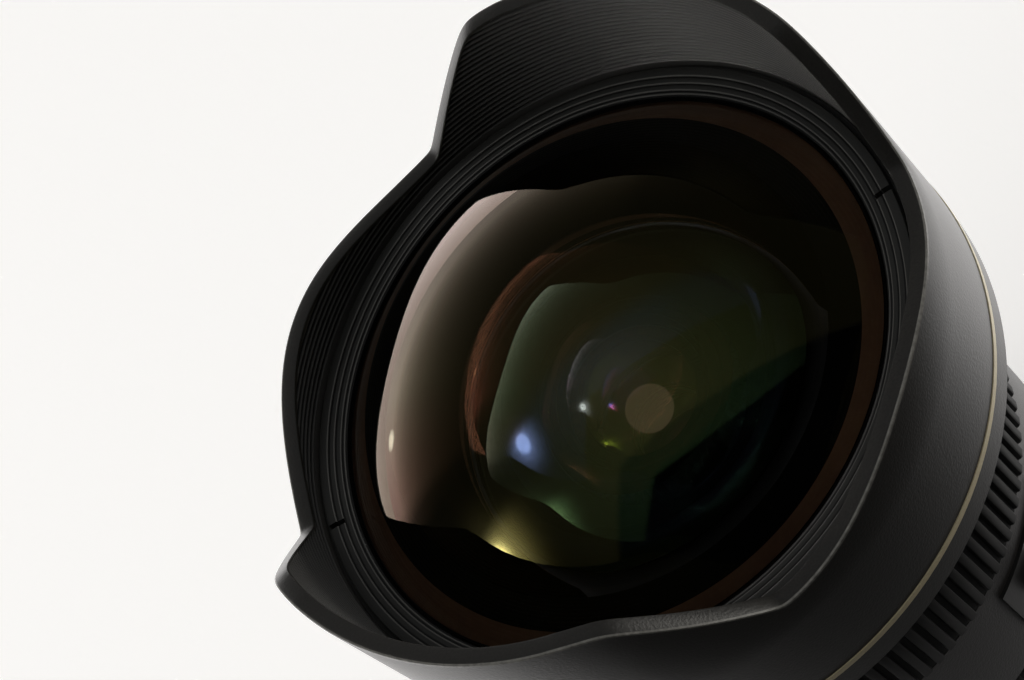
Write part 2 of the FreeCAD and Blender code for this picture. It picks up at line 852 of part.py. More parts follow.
def wave_spring():
    """A flat ring bent into even waves between two circles."""
    rails = []
    steps = spring_waves * spring_steps_per_wave
    inner = main_outer + spring_gap
    for radius in (inner, inner + spring_width):
        points = []
        for step in range(steps):
            angle = 360.0 * step / steps
            lift = spring_wave * math.cos(math.radians(angle * spring_waves)) / 2
            points.append(polar(radius, angle, lift))
        curve = Part.BSplineCurve()
        curve.interpolate(points, PeriodicFlag=True)
        rails.append(curve.toShape())
    sheet = Part.makeRuledSurface(rails[0], rails[1])
    solid = sheet.extrude(Vector(0, 0, spring_thickness))
    solid.translate(Vector(0, 0, stator_bottom - spring_wave / 2 - spring_thickness - seat_gap))
    return solid


save("motor_spring", wave_spring())


def short_petal_edge(angle):
    share = math.cos(math.pi * angle / short_petal_half_angle)
    return short_petal_foot + (short_petal_top - short_petal_foot) * (1 + share) / 2


def flank_edge(angle):
    return flank_foot + flank_rise * (angle - flank_foot_angle)


def long_petal_edge(angle):
    """The flank runs into the long petal's gently bowed top through a round corner."""
    flank = flank_edge(angle)
    bow = math.sin(math.radians(angle))
    top = long_petal_shoulder + (long_petal_top - long_petal_shoulder) * bow ** 4
    blend = math.hypot(flank - top, petal_corner)
    return min((flank + top - blend) / 2 + petal_corner / 2 * bow ** 8, long_petal_top)


def petal_cutter():
    """Everything above the petals' outline: radial faces from inside the wall to outside it."""
    valley = flank_foot_angle - (flank_foot - short_petal_foot) / flank_rise
    short_angles = [valley * step / 6 for step in range(-6, 7)]
    long_reach = 90 - valley
    shares = [0, 0.08, 0.17, 0.25, 0.31, 0.36, 0.41, 0.46, 0.52, 0.62, 0.8, 1]
    rising = [valley + long_reach * share for share in shares]
    long_angles = rising + [180 - angle for angle in reversed(rising[:-1])]
    pieces = []
    for start in (0, 180):
        for angles, edge in ((short_angles, short_petal_edge), (long_angles, long_petal_edge)):
            rails = []
            for radius in (hood_inner - petal_cut_over, hood_radius + petal_cut_over):
                points = []
                for angle in angles:
                    folded = 180 - angle if angle > 90 else abs(angle)
                    capped = min(folded, short_petal_half_angle) if edge is short_petal_edge else folded
                    points.append(polar(radius, start + angle, edge(capped)))
                curve = Part.BSplineCurve()
                curve.interpolate(points)
                rails.append(curve.toShape())
            sheet = Part.makeRuledSurface(rails[0], rails[1])
            pieces.append(sheet.extrude(Vector(0, 0, 2 * (long_petal_top - short_petal_foot))))
    return pieces


# Hood barrel: shell, rear web, shelf for the trim ring, groove for the gold line, petals
shelf_bottom = hood_shelf_top - hood_shelf_thickness
hood = turned([
    (hood_web_inner, hood_rear),
    (hood_radius - hood_rear_taper, hood_rear),
    (hood_radius, hood_rear + hood_lead),
    (hood_radius, long_petal_top + cut_over),
    (hood_inner, long_petal_top + cut_over),
    (hood_inner, hood_shelf_top),
    (hood_bore, hood_shelf_top),
    (hood_bore, shelf_bottom),
    (hood_inner, shelf_bottom),
    (hood_inner, hood_rear + hood_web),
    (hood_web_inner, hood_rear + hood_web),
])
gold_bottom = gold_line_height - gold_line_width / 2
gold_top = gold_line_height + gold_line_width / 2
gold_floor = hood_radius - gold_line_depth
hood = hood.cut(petal_cutter())
gold_groove = ring(gold_floor, hood_radius + cut_over, gold_bottom, gold_top)
hood = hood.cut([gold_groove] + hood_screws)
save("hood_barrel", hood)
save("gold_ring", ring(gold_floor, hood_radius + gold_line_proud, gold_bottom, gold_top))

# Trim ring: concentric steps that fall towards the glass, with two notches for a spanner
step_width = (trim_outer - trim_inner) / trim_steps
steps = [(trim_inner, hood_shelf_top), (trim_outer, hood_shelf_top), (trim_outer, trim_top)]
for index in range(1, trim_steps):
    radius = trim_outer - step_width * index
    steps.append((radius, trim_top - trim_step_drop * (index - 1)))
    steps.append((radius, trim_top - trim_step_drop * index))
steps.append((trim_inner, trim_top - trim_step_drop * (trim_steps - 1)))
trim_ring = turned(steps)
notch_outer = trim_outer - trim_notch_inset
for angle in (trim_notch_angle, trim_notch_angle + 180):
    trim_ring = trim_ring.cut(
        radial_bar(
            notch_outer - trim_notch_length, notch_outer, trim_top - trim_notch_depth, trim_top + cut_over,
            trim_notch_width, angle
        )
    )
save("front_trim_ring", trim_ring)

# Front cell: tube with roller studs and pin slots, shoulder, stepped bore for the glasses, head
front_glass_form = Glass(
    front_radius=front_glass_front_radius, back_radius=front_glass_back_radius,
    thickness=front_glass_rim + sag(front_glass_front_radius, front_glass_edge)
    - sag(front_glass_back_radius, front_glass_hollow_radius),
    edge_radius=front_glass_edge, hollow_radius=front_glass_hollow_radius
)
front_glass = seated(front_glass_form, seat_one)
second_glass = seated(second_glass_form, seat_two)
third_glass = third_glass_form._replace(vertex_height=back_vertex(second_glass) - second_to_third_air)
fourth_glass = fourth_glass_form._replace(vertex_height=back_vertex(third_glass) - third_to_fourth_air)
seat_three = back_edge(third_glass)
seat_four = ledge(fourth_glass)
bore_two = bore(second_glass)
bore_three = bore(third_glass)
bore_four = bore(fourth_glass)
nose_radius = bore_three + nose_wall
nose_top = back_vertex(second_glass) - sag(second_glass.back_radius, nose_radius) - nose_gap
shoulder_bottom = seat_two - cell_tube_wall
web_bottom = seat_four - fourth_ledge
front_cell = turned([
    (cell_tube_inner, front_cell_bottom),
    (cell_tube_radius, front_cell_bottom),
    (cell_tube_radius, shoulder_bottom),
    (cell_shoulder_radius, shoulder_bottom),
    (cell_shoulder_radius, seat_one - head_plate_thickness),
    (head_radius, seat_one - head_plate_thickness),
    (head_radius, hood_shelf_top - run_gap),
    (head_radius - head_wall, hood_shelf_top - run_gap),
    (head_radius - head_wall, seat_one),
    (bore_two, seat_one),
    (bore_two, seat_two),
    (nose_radius, seat_two),
    (nose_radius, nose_top),
    (bore_three, nose_top),
    (bore_three, seat_three),
    (bore_four, seat_three),
    (bore_four, seat_four),
    (bore_four - glass_seat, seat_four),
    (bore_four - glass_seat, web_bottom),
    (cell_tube_inner, web_bottom),
])
front_rollers = []
for angle in front_angles:
    front_rollers.append(
        radial_pin(roller_radius, cell_tube_inner, cam_outer - roller_inset, front_roller_height, angle)
    )
pin_angles = around(focus_pin_count, focus_pin_angle)
pin_half = focus_pin_radius + pin_gap
focus_low = focus_pin_height - focus_travel
pin_slots = []
for angle in pin_angles:
    pin_slots.append(
        straight_slot(
            cell_tube_inner - cut_over, cell_tube_radius + wall_gap, focus_low, focus_pin_height,
            pin_half, angle
        )
    )
save("front_cell", front_cell.cut(front_rollers + pin_slots))
save("front_rollers", front_rollers)
save("front_glass", lens(front_glass))
save("second_glass", lens(second_glass))
save("inner_front_glasses", [lens(third_glass), lens(fourth_glass)])
band_inner = bore(front_glass)
glass_band_top = front_edge(front_glass) - band_inset
save("glass_edge_band", ring(band_inner, band_inner + band_thickness, seat_one, glass_band_top))

# Focus sleeve: it turns on the front cell, is turned by the key and drives the pins
focus_sleeve = ring(sleeve_inner, sleeve_outer, sleeve_bottom, sleeve_top)
for angle in pin_angles:
    focus_sleeve = focus_sleeve.cut(
        helical_slot(
            sleeve_inner - wall_gap, sleeve_outer + cut_over, focus_low, focus_travel, focus_turn, pin_half,
            angle - focus_turn
        )
    )
key_slot = radial_bar(
    sleeve_inner - cut_over, sleeve_outer + cut_over, focus_key_bottom - run_gap, sleeve_top + cut_over,
    focus_key_width + 2 * pin_gap, focus_key_angle
)
save("focus_sleeve", focus_sleeve.cut(key_slot))

# Focus cell with its cemented pair and pins
focus_pair = cemented(focus_pair_form)
pair_edge = ledge(focus_pair[1])
pair_bore = bore(focus_pair[0])
focus_cell_outer = cell_tube_inner - focus_cell_gap
focus_cell_bottom = focus_pin_height - focus_cell_length / 2
focus_cell_rear = min(focus_cell_bottom, pair_edge - rear_ledge)
focus_cell = turned([
    (pair_bore - glass_seat, focus_cell_rear),
    (focus_cell_outer, focus_cell_rear),
    (focus_cell_outer, focus_cell_bottom + focus_cell_length),
    (pair_bore, focus_cell_bottom + focus_cell_length),
    (pair_bore, pair_edge),
    (pair_bore - glass_seat, pair_edge),
])
focus_pins = []
for angle in pin_angles:
    focus_pins.append(
        radial_pin(
            focus_pin_radius, focus_cell_outer - focus_pin_bite, sleeve_outer, focus_pin_height, angle
        )
    )
save("focus_cell", focus_cell.cut(focus_pins))
save("focus_pins", focus_pins)
save("focus_glasses", [lens(glass) for glass in focus_pair])

# Rear cell: barrel for six glasses, web with the lever's window, running ring with rollers
iris_rear_pair = cemented(iris_rear_form)
field_pair = cemented(field_pair_form)
rear_pair = cemented(rear_pair_form)
iris_front_pair = cemented(iris_front_form)
bore_rear = bore(iris_rear_pair[0])
bore_field = bore(field_pair[0])
seat_iris_pair = ledge(iris_rear_pair[1])
seat_field = front_edge(field_pair[0])
rear_end = back_edge(rear_pair[1]) - rear_ledge
barrel_outer = bore_field + rear_barrel_wall
rear_cell = turned([
    (bore_field, rear_end),
    (barrel_outer, rear_end),
    (barrel_outer, rear_web_bottom),
    (rear_ring_outer - rear_ring_wall, rear_web_bottom),
    (rear_ring_outer - rear_ring_wall, rear_ring_bottom),
    (rear_ring_outer, rear_ring_bottom),
    (rear_ring_outer, rear_ring_bottom + rear_ring_length),
    (rear_ring_outer - rear_ring_wall, rear_ring_bottom + rear_ring_length),
    (rear_ring_outer - rear_ring_wall, rear_web_bottom + rear_web_thickness),
    (barrel_outer, rear_web_bottom + rear_web_thickness),
    (barrel_outer, iris_bottom),
    (bore_rear, iris_bottom),
    (bore_rear, seat_iris_pair),
    (bore_rear - glass_seat, seat_iris_pair),
    (bore_rear - glass_seat, seat_field),
    (bore_field, seat_field),
])
bar_window = ring_sector(
    lever_bar_inner - 2 * run_gap, lever_bar_outer + 2 * run_gap, rear_web_bottom - cut_over,
    rear_web_bottom + rear_web_thickness + cut_over, lever_slot_middle,
    lever_bar_sweep_angle + iris_turn + slot_end_angle
)
rear_rollers = []
for angle in rear_angles:
    rear_rollers.append(
        radial_pin(
            roller_radius, rear_ring_outer - rear_ring_wall, cam_outer - roller_inset,
            rear_roller_height, angle
        )
    )
save("rear_cell", rear_cell.cut([bar_window] + rear_rollers))
save("rear_rollers", rear_rollers)
save("iris_front_glasses", [lens(glass) for glass in iris_front_pair])
save("iris_rear_glasses", [lens(glass) for glass in iris_rear_pair])
save("field_glasses", [lens(glass) for glass in field_pair])
save("rear_glasses", [lens(glass) for glass in rear_pair])

# Iris: how far each blade turns to close, and where its driving pin goes
blade_swing = 2 * math.degrees(math.asin((blade_inner - iris_closed_radius) / (2 * blade_pivot_circle)))
blade_floor = iris_bottom + iris_base_thickness + blade_gap
blades_top = blade_floor + blade_pitch * blade_count
iris_ring_bottom = blades_top + blade_gap
iris_ring_top = iris_ring_bottom + iris_ring_thickness
cover_bottom = iris_ring_top + wall_gap
blade_angles = around(blade_count)
print("iris blade swing", round(blade_swing, 4), "ratio", round(blade_swing / iris_turn, 6))


def drive_pin_centre(swing):
    """Where the driving pin of the blade at angle 0 stands when the blade has turned by swing."""
    turn = math.radians(swing)
    return Vector(blade_pivot_circle + blade_arm * math.sin(turn), -blade_arm * math.cos(turn), 0)


def iris_blade(height):
    """A thin crescent with a pivot pin below and a driving pin above, for a pivot at angle 0."""
    top = height + blade_thickness
    middle = blade_sweep_angle / 2
    blade = ring_sector(blade_inner, blade_outer, height, top, middle, blade_sweep_angle)
    tip_circle = (blade_inner + blade_outer) / 2
    tip_radius = (blade_outer - blade_inner) / 2
    tip = axial_pin(tip_radius, tip_circle, blade_sweep_angle, height, top)
    pivot = polar(blade_pivot_circle, 0)
    tail = drive_pin_centre(0)
    root = [
        Vector(blade_inner + blade_root_inset, 0, height),
        Vector(pivot.x, tail.y - blade_root_inset / 3, height),
        Vector(pivot.x + blade_tail_disc, tail.y, height),
        Vector(pivot.x + blade_pivot_disc, 0, height),
        Vector(blade_outer - blade_root_inset / 2, blade_root_width, height),
        Vector(blade_inner + blade_root_inset, blade_root_width, height),
    ]
    root_plate = Part.Face(Part.makePolygon(root + root[:1])).extrude(Vector(0, 0, blade_thickness))
    pivot_disc = axial_pin(blade_pivot_disc, blade_pivot_circle, 0, height, top)
    tail_disc = Part.makeCylinder(blade_tail_disc, blade_thickness, tail + Vector(0, 0, height))
    pivot_pin = axial_pin(blade_pin_radius, blade_pivot_circle, 0, iris_bottom + wall_gap, top)
    drive_height = iris_ring_top - blade_gap - height
    drive_pin = Part.makeCylinder(blade_pin_radius, drive_height, tail + Vector(0, 0, height))
    return blade.fuse([tip, root_plate, pivot_disc, tail_disc, pivot_pin, drive_pin]).removeSplitter()


def arc_slot(points, half_width, bottom, top):
    """A slot with round ends whose middle line is the arc through three points."""
    middle_line = Part.Arc(*points).toShape()
    circle = middle_line.Curve
    edges = []
    ends = []
    for offset in (-half_width, half_width):
        side = circle.copy()
        side.Radius = circle.Radius + offset
        edge = side.toShape(*middle_line.ParameterRange)
        edges.append(edge)
        ends.append((edge.valueAt(edge.FirstParameter), edge.valueAt(edge.LastParameter)))
    sides = [Part.makeLine(ends[0][1], ends[1][1]), Part.makeLine(ends[1][0], ends[0][0])]
    face = Part.Face(Part.Wire([edges[0], sides[0], edges[1], sides[1]]))
    slot = face.extrude(Vector(0, 0, top - bottom))
    slot.translate(Vector(0, 0, bottom))
    caps = []
    for point in (points[0], points[2]):
        caps.append(Part.makeCylinder(half_width, top - bottom, Vector(point.x, point.y, bottom)))
    return slot.fuse(caps)


iris_ring_outer = iris_radius - iris_wall - wall_gap
ring_slot_points = []
for share in (0, 0.5, 1):
    point = drive_pin_centre(blade_swing * share)
    turn = math.radians(-iris_turn * share)
    ring_slot_points.append(
        Vector(
            point.x * math.cos(turn) - point.y * math.sin(turn),
            point.x * math.sin(turn) + point.y * math.cos(turn),
            0,
        )
    )
iris_ring = ring(iris_ring_inner, iris_ring_outer, iris_ring_bottom, iris_ring_top)
fork_side = lever_bar_sweep_angle / 2 + fork_prong_sweep_angle / 2 + math.degrees(pin_gap / lever_bar_inner)
fork_outer = cell_tube_inner - run_gap
for side in (-fork_side, fork_side):
    iris_ring = iris_ring.fuse(
        ring_sector(
            iris_ring_outer - cut_over, fork_outer, iris_ring_bottom, iris_ring_top, lever_angle + side,
            fork_prong_sweep_angle
        )
    )
slot = arc_slot(
    ring_slot_points, blade_pin_radius + pin_gap, iris_ring_bottom - cut_over, iris_ring_top + cut_over
)
iris_base = turned([
    (iris_open_radius, iris_bottom),
    (iris_radius, iris_bottom),
    (iris_radius, cover_bottom),
    (iris_radius - iris_wall, cover_bottom),
    (iris_radius - iris_wall, iris_bottom + iris_base_thickness),
    (iris_open_radius, iris_bottom + iris_base_thickness),
])
fork_window_sweep_angle = 2 * fork_side + fork_prong_sweep_angle + iris_turn + slot_end_angle
iris_base = iris_base.cut(
    ring_sector(
        iris_radius - iris_wall - pin_gap, iris_radius + cut_over, iris_ring_bottom - wall_gap,
        cover_bottom + cut_over,
        lever_slot_middle, fork_window_sweep_angle
    )
)
slots = []
pivot_holes = []
for number, angle in enumerate(blade_angles, 1):
    blade = iris_blade(blade_floor + blade_pitch * (number - 1))
    blade.rotate(Vector(0, 0, 0), Vector(0, 0, 1), angle)
    save("blade_%d" % number, blade)
    slots.append(slot.copy())
    slots[-1].rotate(Vector(0, 0, 0), Vector(0, 0, 1), angle)
    pivot_holes.append(
        axial_pin(
            blade_pin_radius + seat_gap, blade_pivot_circle, angle, iris_bottom - cut_over, blade_floor
        )
    )
save("iris_ring", iris_ring.cut(slots))
save("iris_base", iris_base.cut(pivot_holes))

# Iris cover, which also carries the pair of glasses in front of the iris
bore_front_pair = bore(iris_front_pair[0])
seat_front_pair = ledge(iris_front_pair[1])
cover_top = front_edge(iris_front_pair[0]) + iris_cell_rim
iris_cover = turned([
    (iris_open_radius, cover_bottom),
    (iris_radius, cover_bottom),
    (iris_radius, cover_bottom + iris_cover_thickness),
    (bore_front_pair + rear_barrel_wall, cover_bottom + iris_cover_thickness),
    (bore_front_pair + rear_barrel_wall, cover_top),
    (bore_front_pair, cover_top),
    (bore_front_pair, seat_front_pair),
    (iris_open_radius, seat_front_pair),
])
save("iris_cover", iris_cover)

# Aperture lever: tab into the camera, ring in the shield, bar along which the iris fork slides
lever_ring_bottom = shield_top + run_gap
lever = ring(lever_ring_inner, lever_ring_outer, lever_ring_bottom, lever_ring_bottom + lever_ring_thickness)
lever_parts = [
    ring_sector(
        lever_bar_inner, lever_bar_outer, lever_ring_bottom, lever_bar_top,
        lever_angle, lever_bar_sweep_angle
    ),
    ring_sector(
        lever_tab_inner, throat_radius - run_gap, -lever_tab_reach,
        lever_ring_bottom + lever_ring_thickness, lever_angle, lever_tab_sweep_angle
    ),
    ring_sector(
        lever_tab_inner, lever_ring_outer, lever_ring_bottom, lever_ring_bottom + lever_ring_thickness,
        lever_angle, lever_tab_sweep_angle
    ),
]
save("aperture_lever", lever.fuse(lever_parts).removeSplitter())
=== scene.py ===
import math

import bmesh
import bpy
from mathutils import Matrix, Vector


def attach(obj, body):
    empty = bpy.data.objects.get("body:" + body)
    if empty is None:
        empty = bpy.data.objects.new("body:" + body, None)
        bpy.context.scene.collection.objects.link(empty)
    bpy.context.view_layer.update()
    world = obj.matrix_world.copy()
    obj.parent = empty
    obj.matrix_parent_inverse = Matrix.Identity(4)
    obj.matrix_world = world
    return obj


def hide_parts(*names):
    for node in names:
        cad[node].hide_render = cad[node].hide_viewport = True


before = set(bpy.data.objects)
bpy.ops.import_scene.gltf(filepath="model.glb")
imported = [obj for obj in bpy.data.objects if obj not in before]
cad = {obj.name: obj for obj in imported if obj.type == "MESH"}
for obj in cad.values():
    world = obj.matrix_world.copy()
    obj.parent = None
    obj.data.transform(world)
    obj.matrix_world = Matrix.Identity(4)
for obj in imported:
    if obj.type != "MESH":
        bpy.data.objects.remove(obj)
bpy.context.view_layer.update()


# Studio. The lens stands on its mount on a matt white sweep of card. Two soft boxes and pale cloth light
# it. Its glass mirrors a dim room: a pink window low at the left, a small lamp half flagged off, a faint
# roof and the dark behind the camera. The camera is fitted to the photograph's circles.
MM = 0.001


def linear(code):
    """A hex colour as seen on screen, turned to the linear values that the shader takes."""
    parts = [int(code[place:place + 2], 16) / 255 for place in (1, 3, 5)]
    return tuple(p / 12.92 if p <= 0.04045 else ((p + 0.055) / 1.055) ** 2.4 for p in parts) + (1.0,)


def add(tree, kind, links=None, **settings):
    """Adds a node: settings go to its own fields, links to its inputs as a value or another's output."""
    made = tree.nodes.new(kind)
    for field, value in settings.items():
        setattr(made, field, value)
    for place, value in (links or {}).items():
        if isinstance(value, bpy.types.NodeSocket):
            tree.links.new(value, made.inputs[place])
        else:
            made.inputs[place].default_value = value
    return made


def surface(name, **values):
    """A material with one principled shader, its node tree and its object coordinates."""
    made = bpy.data.materials.new(name)
    made.use_nodes = True
    tree = made.node_tree
    tree.nodes.clear()
    inputs = {key.replace("_", " "): value for key, value in values.items()}
    shader = add(tree, "ShaderNodeBsdfPrincipled", inputs)
    add(tree, "ShaderNodeOutputMaterial", {"Surface": shader.outputs["BSDF"]})
    place = add(tree, "ShaderNodeTexCoord").outputs["Object"]
    return made, tree, shader, place


def link_object(name, data):
    """An object for this mesh, lamp, curve or camera, placed in the scene."""
    made = bpy.data.objects.new(name, data)
    bpy.context.scene.collection.objects.link(made)
    return made


scene = bpy.context.scene
scene.view_settings.view_transform = "Standard"
scene.cycles.max_bounces = 24
scene.cycles.transmission_bounces = 20
scene.cycles.glossy_bounces = 8

camera_data = bpy.data.cameras.new("camera")
camera_data.lens = 86.85
camera_data.sensor_width = 36.0
camera_data.clip_start = 10 * MM
camera = link_object("camera", camera_data)
camera.matrix_world = Matrix((
    (0.811055, -0.067776, 0.581030, 0.183467),
    (0.289464, 0.909639, -0.297946, -0.099570),
    (-0.508340, 0.409830, 0.757380, 0.370481),
    (0.0, 0.0, 0.0, 1.0),
))
scene.camera = camera

world = bpy.data.worlds.new("tent")
scene.world = world
world.use_nodes = True
sky = world.node_tree
sky.nodes.clear()

# The dark behind the camera: the cloth stops at two planes that meet over the camera's side.
left_plane, right_plane, dark_cloth = (1.0, 0.0, -0.01), (1.079, -1.0, -0.387), 0.012
way = add(sky, "ShaderNodeTexCoord").outputs["Generated"]
past_left = add(sky, "ShaderNodeVectorMath", {0: way, 1: left_plane}, operation="DOT_PRODUCT")
past_right = add(sky, "ShaderNodeVectorMath", {0: way, 1: right_plane}, operation="DOT_PRODUCT")
opening = add(
    sky, "ShaderNodeMath", {0: past_left.outputs["Value"], 1: past_right.outputs["Value"]},
    operation="MINIMUM",
)
cloth = add(
    sky, "ShaderNodeMapRange",
    {
        "Value": opening.outputs[0], "From Min": -0.015, "From Max": 0.02, "To Min": 1.0,
        "To Max": dark_cloth,
    },
)

# The window: brightest at its sill and fading upwards, its brightness round the room by degrees from
# straight left towards the back.
sill, upward_fade = 0.05, -6.9
first_degree, last_degree = -30, 90
window_stops = (
    (-24, 0.0), (-19, 0.06), (-15, 0.28), (-11, 0.34), (-4, 0.4), (6, 0.4), (17, 0.3),
    (25, 0.22), (37, 0.145), (50, 0.12), (60, 0.09), (66, 0.03), (83, 0.0),
)
parts = add(sky, "ShaderNodeSeparateXYZ", {0: way})
above = add(sky, "ShaderNodeMath", {0: parts.outputs["Z"], 1: sill}, operation="SUBTRACT")
above = add(sky, "ShaderNodeMath", {0: above.outputs[0], 1: 0.0}, operation="MAXIMUM")
rise = add(sky, "ShaderNodeMath", {0: above.outputs[0], 1: upward_fade}, operation="MULTIPLY")
fade = add(sky, "ShaderNodeMath", {0: rise.outputs[0]}, operation="EXPONENT")
left_x = add(sky, "ShaderNodeMath", {0: parts.outputs["X"], 1: -1.0}, operation="MULTIPLY")
turned = add(sky, "ShaderNodeMath", {0: parts.outputs["Y"], 1: left_x.outputs[0]}, operation="ARCTAN2")
along = add(
    sky, "ShaderNodeMapRange",
    {
        "Value": turned.outputs[0], "From Min": math.radians(first_degree),
        "From Max": math.radians(last_degree),
    },
)
side = add(sky, "ShaderNodeValToRGB", {"Fac": along.outputs["Result"]})
band = side.color_ramp.elements
while len(band) < len(window_stops):
    band.new(0.5)
for stop, (degrees, value) in zip(band, window_stops):
    stop.position = (degrees - first_degree) / (last_degree - first_degree)
    stop.color = (value, value, value, 1.0)
window = add(sky, "ShaderNodeMath", {0: fade.outputs[0], 1: side.outputs["Color"]}, operation="MULTIPLY")

# The small lamp: a sharp core in a soft halo, its left side cut off by a flag.
lamp_toward, flag_plane = (-0.5908, -0.6562, 0.4695), (0.656, -0.755, 0.0)
core_strength, core_falloff, halo_strength, halo_falloff = 60.0, -800.0, 5.0, -85.0
lamp_way = add(sky, "ShaderNodeVectorMath", {0: way, 1: lamp_toward}, operation="DOT_PRODUCT")
apart = add(sky, "ShaderNodeMath", {0: 1.0, 1: lamp_way.outputs["Value"]}, operation="SUBTRACT")
near = add(sky, "ShaderNodeMath", {0: apart.outputs[0], 1: core_falloff}, operation="MULTIPLY")
near = add(sky, "ShaderNodeMath", {0: near.outputs[0]}, operation="EXPONENT")
core = add(sky, "ShaderNodeMath", {0: near.outputs[0], 1: core_strength}, operation="MULTIPLY")
wide = add(sky, "ShaderNodeMath", {0: apart.outputs[0], 1: halo_falloff}, operation="MULTIPLY")
wide = add(sky, "ShaderNodeMath", {0: wide.outputs[0]}, operation="EXPONENT")
halo = add(sky, "ShaderNodeMath", {0: wide.outputs[0], 1: halo_strength}, operation="MULTIPLY")
lamp_glow = add(sky, "ShaderNodeMath", {0: core.outputs[0], 1: halo.outputs[0]}, operation="ADD")
flag_way = add(sky, "ShaderNodeVectorMath", {0: way, 1: flag_plane}, operation="DOT_PRODUCT")
flag = add(
    sky, "ShaderNodeMapRange",
    {
        "Value": flag_way.outputs["Value"], "From Min": -0.05, "From Max": 0.08, "To Min": 0.12,
        "To Max": 1.0,
    },
    interpolation_type="SMOOTHSTEP",
)
lamp_glow = add(
    sky, "ShaderNodeMath", {0: lamp_glow.outputs[0], 1: flag.outputs["Result"]}, operation="MULTIPLY",
)

# The window's hue: daylight, and rose towards its near end where polished glass mirrors it.
daylight, rose_light = (4.6, 4.5, 4.4, 1.0), (5.0, 3.3, 3.7, 1.0)
kind = add(sky, "ShaderNodeLightPath")
rosy = add(
    sky, "ShaderNodeMapRange",
    {
        "Value": turned.outputs[0], "From Min": math.radians(-12), "From Max": math.radians(4),
        "To Min": 1.0, "To Max": 0.35,
    },
)
rosy = add(
    sky, "ShaderNodeMath", {0: rosy.outputs["Result"], 1: kind.outputs["Is Singular Ray"]},
    operation="MULTIPLY",
)
hue = add(sky, "ShaderNodeMix", {"Factor": rosy.outputs[0], 6: daylight, 7: rose_light}, data_type="RGBA")
pink = add(
    sky, "ShaderNodeVectorMath", {0: hue.outputs[2], "Scale": window.outputs[0]}, operation="SCALE",
)

# A glint far left, the lamp's warm white and a faint roof complete what the glass mirrors; matt things
# take the light of the pale cloth, and the camera sees a plain pale wall.
glint_toward, glint_strength, lamp_white = (-0.9985, -0.04, 0.035), 4.0, (1.0, 0.98, 0.92)
roof_dim, roof_bright, cloth_light = 0.035, 0.11, (0.85, 0.85, 0.84)
glint_way = add(sky, "ShaderNodeVectorMath", {0: way, 1: glint_toward}, operation="DOT_PRODUCT")
glint = add(
    sky, "ShaderNodeMapRange",
    {
        "Value": glint_way.outputs["Value"], "From Min": 0.9993, "From Max": 0.9999, "To Min": 0.0,
        "To Max": glint_strength,
    },
    interpolation_type="SMOOTHSTEP",
)
cream = add(
    sky, "ShaderNodeVectorMath", {0: lamp_white, "Scale": lamp_glow.outputs[0]}, operation="SCALE",
)
both = add(
    sky, "ShaderNodeVectorMath", {0: pink.outputs["Vector"], 1: cream.outputs["Vector"]}, operation="ADD",
)
both = add(
    sky, "ShaderNodeVectorMath", {0: both.outputs["Vector"], 1: glint.outputs["Result"]}, operation="ADD",
)
roof = add(
    sky, "ShaderNodeMapRange",
    {
        "Value": parts.outputs["Z"], "From Min": 0.55, "From Max": 0.95, "To Min": roof_dim,
        "To Max": roof_bright,
    },
)
lifted = add(
    sky, "ShaderNodeVectorMath", {0: both.outputs["Vector"], 1: roof.outputs["Result"]}, operation="ADD",
)
mirrored = add(
    sky, "ShaderNodeVectorMath", {0: lifted.outputs["Vector"], "Scale": cloth.outputs["Result"]},
    operation="SCALE",
)
tent = add(
    sky, "ShaderNodeVectorMath", {0: cloth_light, "Scale": cloth.outputs["Result"]}, operation="SCALE",
)
lit = add(
    sky, "ShaderNodeMix",
    {"Factor": kind.outputs["Is Glossy Ray"], 6: tent.outputs["Vector"], 7: mirrored.outputs["Vector"]},
    data_type="RGBA",
)
shown = add(
    sky, "ShaderNodeMix",
    {"Factor": kind.outputs["Is Camera Ray"], 6: lit.outputs[2], 7: linear("#EEEDEB")}, data_type="RGBA",
)
glow = add(sky, "ShaderNodeBackground", {"Color": shown.outputs[2]})
add(sky, "ShaderNodeOutputWorld", {"Surface": glow.outputs["Background"]})


def soft_box(name, toward, distance, width, height, watts, colour):
    """A square lamp behind diffusing cloth that faces the lens from this direction."""
    data = bpy.data.lights.new(name, "AREA")
    data.shape = "RECTANGLE"
    data.size = width
    data.size_y = height
    data.energy = watts
    data.color = linear(colour)[:3]
    lamp = link_object(name, data)
    lamp.location = Vector((0, 0, 90 * MM)) + Vector(toward).normalized() * distance
    lamp.rotation_euler = Vector(toward).to_track_quat("Z", "Y").to_euler()
    return lamp


left = soft_box(
    "left_soft_box", (-0.80, -0.45, 0.45), distance=1.1, width=0.6, height=0.5, watts=2.5,
    colour="#FFFEFA",
)
left.visible_glossy = False
left.visible_transmission = False
back = soft_box(
    "back_soft_box", (0.62, 0.78, 0.14), distance=1.2, width=0.8, height=0.14, watts=4.4,
    colour="#FFFBF2",
)
back.visible_transmission = False

# The pupil, as the front glasses show it, is a faint warm disc of light inside the lens.
pupil = bpy.data.lights.new("pupil_glow", "AREA")
pupil.shape = "DISK"
pupil.size = 9.8 * MM
pupil.energy = 1.0e-5
pupil.color = linear("#FFCFA4")[:3]
pupil_disc = link_object("pupil_glow", pupil)
pupil_disc.location = (5.6 * MM, -3.5 * MM, 86.5 * MM)
pupil_disc.rotation_euler = (math.pi, 0.0, 0.0)


